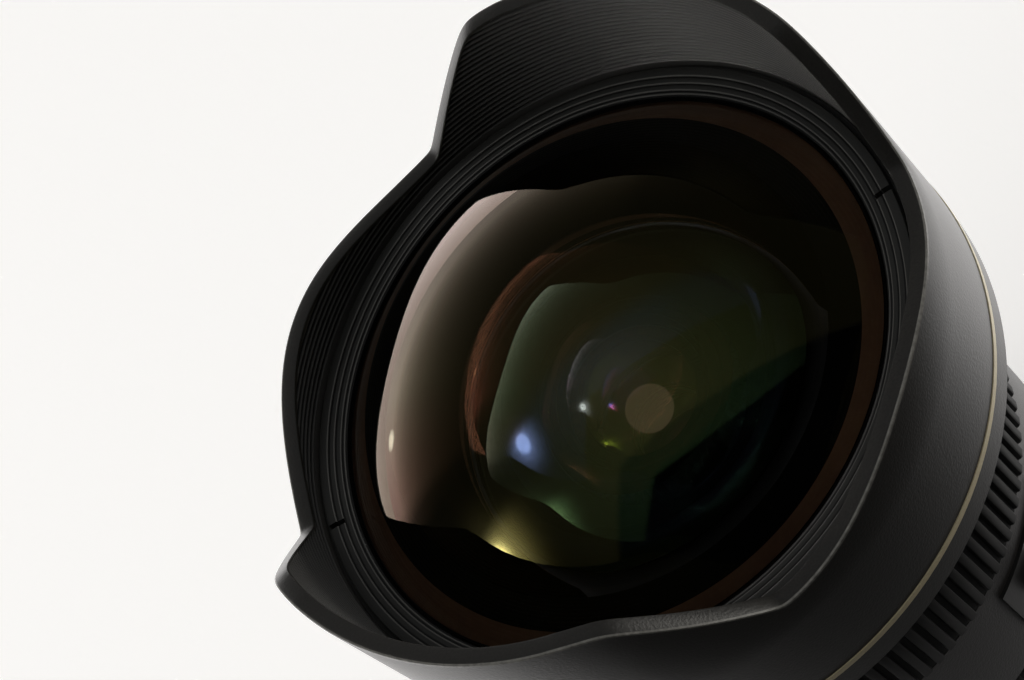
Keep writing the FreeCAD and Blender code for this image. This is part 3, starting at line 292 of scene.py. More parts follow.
def fine_skin(tree, shader, place, grain, detail, depth, strength):
    """A fine uneven skin raised by bump, its grain and depth in mm."""
    noise = add(
        tree, "ShaderNodeTexNoise", {"Vector": place, "Scale": 1 / (grain * MM), "Detail": detail},
    )
    shade = add(
        tree, "ShaderNodeBump",
        {"Height": noise.outputs["Fac"], "Distance": depth * MM, "Strength": strength},
    )
    tree.links.new(shade.outputs["Normal"], shader.inputs["Normal"])


# Matt white card: a pale ground with a faint grain of fibres. Its own glow is painted light that stands
# for
# lamps over it: off under the lens's foot, fading to the right of it, and mauve where polished glass
# mirrors it. Where that glow is off, the card's colour is painted dark grey as shade.
floor_height, floor_reach, foot_reach, spill_reach = -6.0 * MM, 4.0, 24.0 * MM, 90 * MM
spill_way, matt_glow, mirrored_glow = (0.86, -0.5, 0.0), 0.285, 1.25
card, tree, shader, place = surface(
    "lit_white_card", Base_Color=linear("#F2F2F0"), Roughness=0.85, Emission_Color=linear("#FFFFFD"),
)
fine_skin(tree, shader, place, grain=1.11, detail=3.0, depth=0.02, strength=0.3)
pool = add(tree, "ShaderNodeVectorMath", {0: place, 1: spill_way}, operation="DOT_PRODUCT")
spill = add(
    tree, "ShaderNodeMapRange",
    {
        "Value": pool.outputs["Value"], "From Min": 0.0, "From Max": spill_reach, "To Min": 1.0,
        "To Max": 0.0,
    },
    interpolation_type="SMOOTHSTEP",
)
seen = add(tree, "ShaderNodeLightPath")
even = add(
    tree, "ShaderNodeMath", {0: spill.outputs["Result"], 1: seen.outputs["Is Camera Ray"]},
    operation="MAXIMUM",
)
span = add(tree, "ShaderNodeVectorMath", {0: place}, operation="LENGTH")
under = add(tree, "ShaderNodeMath", {0: span.outputs["Value"], 1: foot_reach}, operation="GREATER_THAN")
even = add(tree, "ShaderNodeMath", {0: even.outputs[0], 1: under.outputs[0]}, operation="MULTIPLY")
gain = add(
    tree, "ShaderNodeMapRange",
    {"Value": seen.outputs["Is Glossy Ray"], "To Min": matt_glow, "To Max": mirrored_glow},
)
lamp_under = add(
    tree, "ShaderNodeMath", {0: even.outputs[0], 1: gain.outputs["Result"]}, operation="MULTIPLY",
)
tree.links.new(lamp_under.outputs[0], shader.inputs["Emission Strength"])
mauve = add(
    tree, "ShaderNodeMix",
    {"Factor": seen.outputs["Is Singular Ray"], 6: linear("#FFFCFB"), 7: linear("#FFE0E6")},
    data_type="RGBA",
)
tree.links.new(mauve.outputs[2], shader.inputs["Emission Color"])
# Painted shade: the card's colour turns dark grey where the glow is off. This is a painted shadow under
# the lens's foot and, for light that bounces or mirrors off the card, painted shade to the right of it.
card_and_painted_shade = add(
    tree, "ShaderNodeMix", {"Factor": even.outputs[0], 6: linear("#3A3A3A"), 7: linear("#F0EFEE")},
    data_type="RGBA",
)
tree.links.new(card_and_painted_shade.outputs[2], shader.inputs["Base Color"])
bm = bmesh.new()
bmesh.ops.create_circle(bm, cap_ends=True, segments=96, radius=floor_reach)
bmesh.ops.translate(bm, verts=bm.verts, vec=(0, 0, floor_height))
mesh = bpy.data.meshes.new("floor")
bm.to_mesh(mesh)
bm.free()
mesh.materials.append(card)
floor = link_object("floor", mesh)


# Bayonet mount. Turned from stainless steel bar with three milled lugs, polished on the lugs and
# left with fine turning rings on its flat, and held by five steel screws. It goes on last.
def piece(name, bm, material, body, slot, angle, *nodes):
    """Makes the object from a finished bmesh in metres and hangs it on its body."""
    mesh = bpy.data.meshes.new(name)
    bm.to_mesh(mesh)
    bm.free()
    for one in material if isinstance(material, list) else [material]:
        mesh.materials.append(one)
    mesh.polygons.foreach_set("use_smooth", [True] * len(mesh.polygons))
    mesh.set_sharp_from_angle(angle=math.radians(angle))
    made = link_object(name, mesh)
    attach(made, body)
    if nodes:
        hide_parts(*nodes)
    return made


def turn_normals(mesh):
    """Gives the cylinders and cones round the axis the normals of true turned faces."""
    steepest, least_radius, least_outward = 0.2, 4 * MM, 0.998
    normals = [tuple(corner.vector) for corner in mesh.corner_normals]
    for face in mesh.polygons:
        flat = math.hypot(face.normal.x, face.normal.y)
        middle = math.hypot(face.center.x, face.center.y)
        if flat < steepest or middle < least_radius:
            continue
        outward = (face.normal.x * face.center.x + face.normal.y * face.center.y) / (flat * middle)
        if abs(outward) < least_outward:
            continue
        for corner in face.loop_indices:
            spot = mesh.vertices[mesh.loops[corner].vertex_index].co
            reach = math.hypot(spot.x, spot.y)
            if reach > least_radius / 2:
                push = math.copysign(flat, outward) / reach
                normals[corner] = (spot.x * push, spot.y * push, face.normal.z)
    mesh.normals_split_custom_set(normals)


def smooth_copy(node, name, material, body, slot, angle=32.0):
    """The CAD node's own mesh with its loose triangles joined, shaded smooth up to this angle."""
    bm = bmesh.new()
    bm.from_mesh(cad[node].data)
    bmesh.ops.remove_doubles(bm, verts=bm.verts, dist=0.002 * MM)
    made = piece(name, bm, material, body, slot, angle, node)
    turn_normals(made.data)


def from_axis(tree, place):
    """Each point's distance from the axis."""
    reach = add(tree, "ShaderNodeVectorMath", {0: place, 1: (1.0, 1.0, 0.0)}, operation="MULTIPLY")
    length = add(tree, "ShaderNodeVectorMath", {0: reach.outputs["Vector"]}, operation="LENGTH")
    return length.outputs["Value"]


def turning_rings(tree, shader, along, pitch, depth, strength):
    """A lathe tool's fine rings, their pitch and depth in mm, one after another along this."""
    rings = add(
        tree, "ShaderNodeTexNoise", {"W": along, "Scale": 1 / (pitch * MM), "Detail": 2.0},
        noise_dimensions="1D",
    )
    shade = add(
        tree, "ShaderNodeBump",
        {"Height": rings.outputs["Fac"], "Distance": depth * MM, "Strength": strength},
    )
    tree.links.new(shade.outputs["Normal"], shader.inputs["Normal"])


def rubbed_patches(tree, shader, place, patch, detail, glossy, dull):
    """Patches of this size in mm that wear has polished or dulled between these two roughnesses."""
    noise = add(
        tree, "ShaderNodeTexNoise", {"Vector": place, "Scale": 1 / (patch * MM), "Detail": detail},
    )
    wear = add(
        tree, "ShaderNodeMapRange", {"Value": noise.outputs["Fac"], "To Min": glossy, "To Max": dull},
    )
    tree.links.new(wear.outputs["Result"], shader.inputs["Roughness"])


def two_tones(tree, shader, place, patch, detail, dark, pale):
    """A coat that drifts between two near colours in patches of this size in mm."""
    noise = add(
        tree, "ShaderNodeTexNoise", {"Vector": place, "Scale": 1 / (patch * MM), "Detail": detail},
    )
    tone = add(
        tree, "ShaderNodeMix", {"Factor": noise.outputs["Fac"], 6: linear(dark), 7: linear(pale)},
        data_type="RGBA",
    )
    tree.links.new(tone.outputs[2], shader.inputs["Base Color"])


# Stainless steel faced on a lathe: bright grey metal with faint turning rings.
steel, tree, shader, place = surface(
    "turned_stainless_steel", Base_Color=linear("#C3C2BE"), Metallic=1.0, Roughness=0.26,
)
radius = from_axis(tree, place)
turning_rings(tree, shader, radius, pitch=0.111, depth=0.002, strength=0.2)
smooth_copy("bayonet_mount", "bayonet_ring", steel, "root", "stainless")

# Passivated steel: a greyer metal than the mount, dulled in patches by handling.
screw, tree, shader, place = surface(
    "passivated_steel_screw", Base_Color=linear("#8F8D88"), Metallic=1.0, Roughness=0.34,
)
rubbed_patches(tree, shader, place, patch=0.385, detail=4.0, glossy=0.26, dull=0.46)
smooth_copy("mount_screws", "mount_screw_heads", screw, "root", "screw_steel")

# Moulded rubber: nearly black and dull, with a fine moulded skin and a trace of pale bloom.
rubber, tree, shader, place = surface(
    "moulded_black_rubber", Base_Color=linear("#101010"), Roughness=0.75, Specular_IOR_Level=0.25,
)
skin = add(
    tree, "ShaderNodeTexNoise",
    {"Vector": place, "Scale": 1 / (0.192 * MM), "Detail": 5.0, "Roughness": 0.6},
)
shade = add(
    tree, "ShaderNodeBump", {"Height": skin.outputs["Fac"], "Distance": 0.03 * MM, "Strength": 0.35},
)
tree.links.new(shade.outputs["Normal"], shader.inputs["Normal"])
two_tones(tree, shader, place, patch=3.85, detail=4.0, dark="#0B0B0B", pale="#141413")
smooth_copy("mount_gasket", "rubber_skirt_seal", rubber, "root", "gasket_rubber")


# Contact block, pins, rear light shield and aperture lever. The block and the shield are moulded in
# matt black plastic, the pins are gold plated, and the lever is a blackened steel stamping.

# ABS from a spark-eroded mould: an even dull black with a grain, drawn coarser so that it shows.
plastic, tree, shader, place = surface("moulded_black_abs", Base_Color=linear("#171717"), Roughness=0.5)
spark = add(tree, "ShaderNodeTexVoronoi", {"Vector": place, "Scale": 1 / (0.385 * MM)})
shade = add(
    tree, "ShaderNodeBump",
    {"Height": spark.outputs["Distance"], "Distance": 0.03 * MM, "Strength": 0.25},
)
tree.links.new(shade.outputs["Normal"], shader.inputs["Normal"])
smooth_copy("contact_block", "contact_housing", plastic, "root", "black_abs")
smooth_copy("rear_light_shield", "rear_baffle", plastic, "root", "black_abs")

# Gold plate on brass: warm and bright, duller where the camera's contacts rub.
gold, tree, shader, place = surface(
    "gold_plated_brass", Base_Color=linear("#E3B866"), Metallic=1.0, Roughness=0.2,
)
rubbed_patches(tree, shader, place, patch=0.192, detail=3.0, glossy=0.14, dull=0.34)
smooth_copy("contact_pins", "signal_pins", gold, "root", "gold_contact")

# Steel blackened in hot oil: a dark metal sheen, mottled brown and grey.
blued, tree, shader, place = surface(
    "blackened_steel", Base_Color=linear("#55534F"), Metallic=1.0, Roughness=0.4,
)
two_tones(tree, shader, place, patch=0.667, detail=4.0, dark="#3B3A38", pale="#6A6863")
smooth_copy("aperture_lever", "stop_down_lever", blued, "lever", "key_steel")


# Rear barrel, index dot, circuit board and flexible strip. The barrel is turned aluminium with a fine
# black crackle enamel baked on, and the dot is white enamel dropped into a drilled seat.

# Baked crackle enamel: satin black in fine pebbles that break up the highlights.
enamel, tree, shader, place = surface(
    "black_crackle_enamel", Base_Color=linear("#2B2A29"), Roughness=0.55,
)
grain = add(tree, "ShaderNodeTexVoronoi", {"Vector": place, "Scale": 1 / (0.435 * MM)})
crumb = add(tree, "ShaderNodeTexNoise", {"Vector": place, "Scale": 1 / (0.263 * MM), "Detail": 3.0})
height = add(
    tree, "ShaderNodeMath", {0: grain.outputs["Distance"], 1: crumb.outputs["Fac"]}, operation="ADD",
)
shade = add(tree, "ShaderNodeBump", {"Height": height.outputs[0], "Distance": 0.05 * MM, "Strength": 0.5})
tree.links.new(shade.outputs["Normal"], shader.inputs["Normal"])
tone = add(
    tree, "ShaderNodeMix", {"Factor": crumb.outputs["Fac"], 6: linear("#141313"), 7: linear("#22201F")},
    data_type="RGBA",
)
tree.links.new(tone.outputs[2], shader.inputs["Base Color"])
smooth_copy("rear_barrel", "mount_collar", enamel, "root", "barrel_paint")

# Enamel set from a drop: glossy white with a slightly uneven face.
dot, tree, shader, place = surface("white_dropped_enamel", Base_Color=linear("#F1F0EA"), Roughness=0.22)
fine_skin(tree, shader, place, grain=0.526, detail=2.0, depth=0.02, strength=0.2)
smooth_copy("index_dot", "mounting_index_dot", dot, "root", "white_enamel")

# Solder mask on laminate: glossy green, paler over the copper tracks.
board, tree, shader, place = surface("green_solder_mask", Base_Color=linear("#1F4A33"), Roughness=0.36)
traces = add(
    tree, "ShaderNodeTexBrick",
    {
        "Vector": place, "Color1": linear("#1F4A33"), "Color2": linear("#235238"),
        "Mortar": linear("#2E6A47"), "Scale": 1 / (3.33 * MM), "Mortar Size": 0.015,
    },
)
tree.links.new(traces.outputs["Color"], shader.inputs["Base Color"])
smooth_copy("circuit_board", "lens_circuit_board", board, "root", "board_laminate")

# Polyimide film: glossy amber with darker printed tracks.
film, tree, shader, place = surface("amber_polyimide_film", Base_Color=linear("#A65F17"), Roughness=0.25)
lines = add(tree, "ShaderNodeTexWave", {"Vector": place, "Scale": 1 / (1.43 * MM)})
tone = add(
    tree, "ShaderNodeMix", {"Factor": lines.outputs["Fac"], 6: linear("#8C4D10"), 7: linear("#C27A2A")},
    data_type="RGBA",
)
tree.links.new(tone.outputs[2], shader.inputs["Base Color"])
smooth_copy("flex_strip", "contact_flex", film, "root", "amber_film")


# Guide tube, cam ring, keys, sleeve and cells. All are turned from aluminium bar, milled, and dyed matt
# black by anodising so that no light strays inside; rollers are brass and keys are hardened steel.

# Aluminium anodised and dyed black: dull, near black, with turning rings that catch a little light.
anodised, tree, shader, place = surface(
    "matt_black_anodised_aluminium", Base_Color=linear("#1C1C1D"), Roughness=0.42,
)
radius = from_axis(tree, place)
height = add(tree, "ShaderNodeSeparateXYZ", {0: place})
track = add(tree, "ShaderNodeMath", {0: radius, 1: height.outputs["Z"]}, operation="ADD")
turning_rings(tree, shader, track.outputs[0], pitch=0.192, depth=0.01, strength=0.6)
for node, name, body in (
    ("guide_tube", "straight_guide_tube", "root"),
    ("cam_ring", "helical_cam_ring", "zoom"),
    ("focus_sleeve", "focus_cam_sleeve", "sleeve"),
    ("focus_cell", "focus_lens_cell", "focus_group"),
    ("rear_cell", "rear_lens_cell", "rear_group"),
    ("iris_base", "iris_base_plate", "rear_group"),
    ("iris_cover", "iris_cover_plate", "rear_group"),
):
    smooth_copy(node, name, anodised, body, "anodised_black")
for node, name, body in (
    ("zoom_key", "zoom_drive_key", "zoom"), ("focus_key", "focus_drive_key", "focus"),
    ("clutch_ring", "focus_clutch_ring", "focus"),
):
    smooth_copy(node, name, blued, body, "key_steel")

# Turned brass: yellow metal that the slots have worn bright and dull in patches.
brass, tree, shader, place = surface(
    "turned_brass_roller", Base_Color=linear("#C9A560"), Metallic=1.0, Roughness=0.26,
)
rubbed_patches(tree, shader, place, patch=0.333, detail=3.0, glossy=0.2, dull=0.36)
for node, name, body in (
    ("front_rollers", "front_cam_rollers", "front_group"),
    ("rear_rollers", "rear_cam_rollers", "rear_group"), ("focus_pins", "focus_cam_pins", "focus_group"),
):
    smooth_copy(node, name, brass, body, "roller_brass")


# Zoom ring with its painted focal lengths. The ring is moulded and enamelled black, its numerals are pad
# printed in white on the smooth band, and a ribbed rubber sleeve is stretched over the rest.

# Sprayed satin enamel: a soft smooth black with a very fine orange peel.
band, tree, shader, place = surface("satin_black_enamel", Base_Color=linear("#262625"), Roughness=0.42)
fine_skin(tree, shader, place, grain=0.238, detail=4.0, depth=0.03, strength=0.4)
smooth_copy("zoom_ring", "zoom_band", band, "zoom", "numeral_band")

# Pad-printed ink: a warm white, dull, with the pad's fine grain.
ink, tree, shader, place = surface("pad_printed_white_ink", Base_Color=linear("#E9E8E2"), Roughness=0.45)
fine_skin(tree, shader, place, grain=0.167, detail=3.0, depth=0.02, strength=0.3)


def printed(name, marks, size, radius, body):
    """Numerals and index strokes wrapped round the axis: (text, angle, height of their middle), in mm."""
    bm = bmesh.new()
    for text, angle, height in marks:
        first = len(bm.verts)
        curve = bpy.data.curves.new("numeral", "FONT")
        curve.body = text
        curve.size = size
        curve.align_x = "CENTER"
        curve.align_y = "CENTER"
        curve.resolution_u = 3
        holder = link_object("numeral", curve)
        glyph = bpy.data.meshes.new_from_object(holder)
        bm.from_mesh(glyph)
        bpy.data.objects.remove(holder)
        bpy.data.curves.remove(curve)
        bpy.data.meshes.remove(glyph)
        bm.verts.ensure_lookup_table()
        for v in bm.verts[first:]:
            turn = math.radians(angle) + v.co.x / radius
            v.co = Vector((radius * math.cos(turn), radius * math.sin(turn), height + v.co.y))
    bmesh.ops.scale(bm, verts=bm.verts, vec=(MM, MM, MM))
    piece(name, bm, ink, body, "white_enamel", 30)


# The index line stands on the barrel at +Y, and the ring turns 60 degrees under it.
index_angle, numeral_height = 90.0, 17.4
numerals = (("14", 0.0), ("16", 17.0), ("18", 30.0), ("20", 42.0), ("24", 60.0))
printed(
    "focal_length_numerals", [(text, index_angle - step, numeral_height) for text, step in numerals],
    size=3.6, radius=39.22, body="zoom",
)


def ribbed(node, name, body, inner, core, crest, bottom, top):
    """A rubber sleeve with ribs along the axis, their flanks drafted and their ends rounded, in mm."""
    rib_count = 104
    pitch = 2 * math.pi / rib_count
    # One rib as (share of the pitch, share of the rib's height).
    profile = ((0.0, 0.0), (0.06, 0.86), (0.12, 1.0), (0.54, 1.0), (0.6, 0.86), (0.66, 0.0), (0.83, 0.0))
    # The rings upwards as (height, share of the rib's height); the last turns in to the bore.
    rings = (
        (bottom, 0.0), (bottom + 0.15, 0.6), (bottom + 0.6, 1.0),
        (top - 0.6, 1.0), (top - 0.15, 0.6), (top, 0.0), (top, None),
    )
    places = [(rib + share) * pitch for rib in range(rib_count) for share, rise in profile]
    bm = bmesh.new()
    ring = [bm.verts.new((inner * math.cos(turn), inner * math.sin(turn), bottom)) for turn in places]
    start = [bm.edges.new((ring[i - 1], ring[i])) for i in range(len(ring))]
    rim = start
    for height, keep in rings:
        grown = bmesh.ops.extrude_edge_only(bm, edges=rim)["geom"]
        rim = [e for e in grown if isinstance(e, bmesh.types.BMEdge)]
        for v in (g for g in grown if isinstance(g, bmesh.types.BMVert)):
            turn = math.atan2(v.co.y, v.co.x) % (2 * math.pi)
            share = (turn / pitch) % 1.0
            apart = [min(abs(stand - share), 1 - abs(stand - share)) for stand, rise in profile]
            rise = profile[apart.index(min(apart))][1]
            reach = inner if keep is None else core + (crest - core) * rise * keep
            v.co = Vector((reach * math.cos(turn), reach * math.sin(turn), height))
    bmesh.ops.bridge_loops(bm, edges=rim + start)
    bmesh.ops.scale(bm, verts=bm.verts, vec=(MM, MM, MM))
    bmesh.ops.recalc_face_normals(bm, faces=bm.faces)
    piece(name, bm, rubber, body, "grip_rubber", 40, node)


ribbed(
    "zoom_grip", "zoom_rubber_sleeve", "zoom", inner=38.3, core=39.2, crest=40.0, bottom=20.3, top=39.4,
)


# Main barrel with the distance window, the scale behind it and the focus mode switch. The shell is
# enamelled aluminium, the window is an acrylic pane glued in, and the switch slides on a moulded plate.
smooth_copy("main_barrel", "main_barrel_shell", enamel, "root", "barrel_paint")

# Polished acrylic: clear and glossy, with a faint haze of hairline wear.
pane, tree, shader, place = surface(
    "clear_acrylic_pane", Base_Color=linear("#F4F6F5"), Roughness=0.03, IOR=1.49, Transmission_Weight=1.0,
)
rubbed_patches(tree, shader, place, patch=2, detail=3.0, glossy=0.02, dull=0.06)
smooth_copy("distance_window", "scale_window_pane", pane, "root", "clear_window")

# Matt paint: a flat black behind the white numerals.
drum, tree, shader, place = surface(
    "matt_black_painted_drum", Base_Color=linear("#141414"), Roughness=0.6,
)
fine_skin(tree, shader, place, grain=0.208, detail=3.0, depth=0.02, strength=0.4)
smooth_copy("distance_scale", "distance_scale_drum", drum, "focus", "scale_drum")

# The drum turns 90 degrees with the focus ring, from infinity to 0.28 m under the index line.
window_height = 51.5
distances = (("∞", 0.0), ("1", 23.0), ("0.5", 46.0), ("0.35", 68.0), ("0.28", 90.0))
printed(
    "distance_numerals", [(text, index_angle - step, window_height) for text, step in distances],
    size=3.4, radius=38.53, body="focus",
)
printed("zoom_index_line", [("|", index_angle, 11.6)], size=2.4, radius=39.02, body="root")
printed("distance_index_line", [("|", index_angle, 58.6)], size=2.2, radius=40.62, body="root")
smooth_copy("switch_plate", "mode_switch_plate", plastic, "root", "switch_black")
smooth_copy("mode_switch", "mode_switch_knob", plastic, "switch", "switch_black")


# Focus ring with its rubber sleeve, and the ring motor that drives it: an aluminium rotor pressed on a
# steel stator by a wavy steel spring.
smooth_copy("focus_ring", "focus_ring_core", band, "focus", "numeral_band")
ribbed(
    "focus_grip", "focus_rubber_sleeve", "focus", inner=40.0, core=40.9, crest=41.7, bottom=62.4,
    top=86.8,
)

# Bright turned aluminium: pale metal with fine rings round the axis.
light_metal, tree, shader, place = surface(
    "turned_bright_aluminium", Base_Color=linear("#B9BABC"), Metallic=1.0, Roughness=0.3,
)
radius = from_axis(tree, place)
turning_rings(tree, shader, radius, pitch=0.143, depth=0.005, strength=0.5)
smooth_copy("motor_rotor", "ring_motor_rotor", light_metal, "focus", "bright_aluminium")
smooth_copy("iris_ring", "iris_control_ring", light_metal, "iris_control", "bright_aluminium")
smooth_copy("motor_stator", "ring_motor_stator", blued, "root", "motor_metal")
smooth_copy("motor_spring", "motor_wave_spring", screw, "root", "spring_steel")


# Iris blades. Nine leaves are blanked from thin spring steel and coated matt black, so that they slide
# dry on each other between the iris's base and its slotted ring.

# Dry-coated spring steel: a dark grey leaf with a soft, slightly uneven sheen.
leaf, tree, shader, place = surface(
    "black_coated_spring_steel", Base_Color=linear("#2A2A2B"), Metallic=0.6, Roughness=0.38,
)
rubbed_patches(tree, shader, place, patch=0.4, detail=3.0, glossy=0.3, dull=0.46)
for count in range(1, 10):
    smooth_copy("blade_%d" % count, "iris_leaf_%d" % count, leaf, "blade_%d" % count, "blade_steel")


# Glasses. Each is ground and polished optical glass with a coating of several thin films, which gives its
# mirror images their olive, rose and amber tints, and its ground rim is blackened with ink.
def sag(radius, reach):
    """How far a face of this radius has fallen away at this distance from the axis."""
    return radius - math.copysign(math.sqrt(radius * radius - reach * reach), radius)


def arc(radius, reach, height, count):
    """Points of a lens face from the axis out to this reach, its vertex at this height."""
    return [(reach * i / count, height - sag(radius, reach * i / count)) for i in range(count + 1)]


def spun(outline, steps, close=True):
    """A solid of revolution about the axis from an outline of (radius, height) in mm."""
    bm = bmesh.new()
    points = [bm.verts.new((radius, 0, height)) for radius, height in outline]
    edges = [bm.edges.new(pair) for pair in zip(points, points[1:])]
    if close:
        edges.append(bm.edges.new((points[-1], points[0])))
    bmesh.ops.spin(
        bm, geom=points + edges, cent=(0, 0, 0), axis=(0, 0, 1), dvec=(0, 0, 0), angle=2 * math.pi,
        steps=steps, use_merge=True, use_normal_flip=False, use_duplicate=False,
    )
    bmesh.ops.remove_doubles(bm, verts=bm.verts, dist=1e-4)
    bmesh.ops.recalc_face_normals(bm, faces=bm.faces)
    bm.normal_update()
    return bm


def coated(name, tint, index=1.6):
    """Polished coated glass: clear, with tinted mirror images that are a shade cloudy."""
    made, tree, shader, place = surface(
        name, Base_Color=linear("#FBFCFB"), Roughness=0.0, IOR=index, Transmission_Weight=1.0,
    )
    cloud = add(tree, "ShaderNodeTexNoise", {"Vector": place, "Scale": 1 / (22.2 * MM), "Detail": 1.0})
    uneven = add(
        tree, "ShaderNodeMapRange", {"Value": cloud.outputs["Fac"], "To Min": 0.94, "To Max": 1.0},
    )
    tone = add(
        tree, "ShaderNodeMix", {"Factor": 1.0, 6: linear(tint), 7: uneven.outputs["Result"]},
        data_type="RGBA", blend_type="MULTIPLY",
    )
    tree.links.new(tone.outputs[2], shader.inputs["Specular Tint"])
    return made


# Blackening ink on ground glass: so dull and black that the rim seems not to be there.
rim_ink, tree, shader, place = surface(
    "black_rim_ink", Base_Color=linear("#0B0A0A"), Roughness=0.8, Specular_IOR_Level=0.08,
)
two_tones(tree, shader, place, patch=0.556, detail=3.0, dark="#020202", pale="#060605")

# Brown lacquer: the warm dark ring that shows through the dome's edge.
brown_ink, tree, shader, place = surface(
    "brown_rim_lacquer", Base_Color=linear("#7A4A2C"), Roughness=0.6, Specular_IOR_Level=0.2,
)
two_tones(tree, shader, place, patch=1.11, detail=4.0, dark="#664630", pale="#7A563A")


def single_glass(nodes, name, body, tints, vertex, front, back, thickness, edge, hollow, lacquer=0.0):
    """One lens in its two coatings, inked on its rim and on the flat round its hollow, in mm.

    From the lacquer's radius outwards the flat is brown.
    """
    front_face, back_face, rim_face, lacquer_face = 0, 1, 2, 3
    face = arc(front, edge, vertex, 80)
    hollow_back = arc(back, hollow, vertex - thickness, 48)
    flat = hollow_back[-1][1] + 0.02
    hollow_back[-1] = (hollow, flat)
    ring = [(edge, flat), (lacquer, flat)] if lacquer else [(edge, flat)]
    bm = spun(face + ring + hollow_back[::-1], 360, False)
    for f in bm.faces:
        middle = f.calc_center_median()
        reach = math.hypot(middle.x, middle.y)
        f.material_index = front_face
        if abs(f.normal.z) < 0.05:
            f.material_index = rim_face
        elif abs(middle.z - flat) < 0.005 and f.normal.z < -0.99:
            f.material_index = lacquer_face if lacquer and reach > lacquer else rim_face
        elif f.normal.z < 0:
            f.material_index = back_face
    bmesh.ops.scale(bm, verts=bm.verts, vec=(MM, MM, MM))
    piece(name, bm, [*tints, rim_ink, brown_ink], body, "coated_glass", 25, *nodes)


def glass_pair(node, name, body, tints, vertex, front, back, thickness, edge):
    """A cemented pair: its joint can't be seen, so it is one lens between its two outer faces, in mm."""
    bm = spun(arc(front, edge, vertex, 24) + arc(back, edge, vertex - thickness, 24)[::-1], 128, False)
    for f in bm.faces:
        f.material_index = 2 if abs(f.normal.z) < 0.05 else 1 if f.normal.z < 0 else 0
    bmesh.ops.scale(bm, verts=bm.verts, vec=(MM, MM, MM))
    piece(name, bm, [*tints, rim_ink], body, "coated_glass", 25, node)


olive = coated("olive_coated_glass", "#FFF089")

# The dome's hollow face: its films go from blue to amber across the lens, so one mirror image is blue and
# the others are brown. Its mirror share is constant, so its steep edge stays as clear as its middle.
across_way, blue_until, amber_from, mirror_share = (-0.8, 0.6, 0.0), -8.5 * MM, -4.5 * MM, 0.06
drift = bpy.data.materials.new("blue_to_amber_coated_glass")
drift.use_nodes = True
tree = drift.node_tree
tree.nodes.clear()
place = add(tree, "ShaderNodeTexCoord").outputs["Object"]
across = add(tree, "ShaderNodeVectorMath", {0: place, 1: across_way}, operation="DOT_PRODUCT")
share = add(
    tree, "ShaderNodeMapRange",
    {"Value": across.outputs["Value"], "From Min": blue_until, "From Max": amber_from},
    interpolation_type="SMOOTHSTEP",
)
film = add(
    tree, "ShaderNodeMix",
    {"Factor": share.outputs["Result"], 6: linear("#A4BEFF"), 7: linear("#D0946A")}, data_type="RGBA",
)
body_glass = add(
    tree, "ShaderNodeBsdfRefraction", {"Color": linear("#FBFCFB"), "Roughness": 0.0, "IOR": 1.6},
)
film_face = add(tree, "ShaderNodeBsdfGlossy", {"Color": film.outputs[2], "Roughness": 0.0})
both = add(
    tree, "ShaderNodeMixShader",
    {0: mirror_share, 1: body_glass.outputs["BSDF"], 2: film_face.outputs["BSDF"]},
)
add(tree, "ShaderNodeOutputMaterial", {"Surface": both.outputs["Shader"]})

green = coated("green_coated_glass", "#B4EC98", 1.95)
pale = coated("pale_coated_glass", "#E6F6E8", 1.7)
amber = coated("amber_coated_glass", "#C08A54", 1.7)
violet = coated("violet_coated_glass", "#8C8CFF")
rose = coated("rose_coated_glass", "#F06A7C", 1.7)
lime = coated("lime_coated_glass", "#DCE642", 1.7)
rust = coated("rust_coated_glass", "#D08A58", 1.8)
single_glass(
    ["front_glass"], "front_dome_lens", "front_group", (olive, drift),
    vertex=128.27, front=55.0, back=32.0, thickness=5.0, edge=40.7, hollow=29.0, lacquer=33.8,
)
single_glass(
    ["second_glass"], "second_meniscus_lens", "front_group", (green, pale),
    vertex=110.43, front=75.0, back=24.0, thickness=2.5, edge=27.5, hollow=21.5,
)
single_glass(
    ["inner_front_glasses"], "third_meniscus_lens", "front_group", (amber, violet),
    vertex=97.43, front=-120.0, back=38.0, thickness=2.0, edge=18.0, hollow=16.0,
)
single_glass(
    [], "fourth_crown_lens", "front_group", (rose, rust),
    vertex=94.23, front=45.0, back=-60.0, thickness=6.8, edge=16.5, hollow=16.5,
)
glass_pair(
    "focus_glasses", "focus_lens_pair", "focus_group", (lime, rust),
    vertex=85.5, front=60.0, back=90.0, thickness=7.4, edge=13.5,
)
glass_pair(
    "iris_front_glasses", "iris_front_lens_pair", "rear_group", (rose, amber),
    vertex=46.5, front=40.0, back=200.0, thickness=6.0, edge=10.5,
)
glass_pair(
    "iris_rear_glasses", "iris_rear_lens_pair", "rear_group", (green, amber),
    vertex=31.5, front=30.0, back=40.0, thickness=6.0, edge=10.8,
)
glass_pair(
    "field_glasses", "field_lens_pair", "rear_group", (amber, olive),
    vertex=20.8, front=-30.0, back=-35.0, thickness=6.5, edge=12.0,
)
glass_pair(
    "rear_glasses", "rear_lens_pair", "rear_group", (olive, rose),
    vertex=13.6, front=60.0, back=-200.0, thickness=5.1, edge=12.0,
)


# Front cell and the thin black band round the front glass. The cell is turned in one piece with a
# seat for each glass, and the band is a strip of blackened foil that takes up the clearance.
smooth_copy("front_cell", "front_lens_cell", anodised, "front_group", "anodised_black")
smooth_copy("glass_edge_band", "front_lens_band", rim_ink, "front_group", "edge_black")
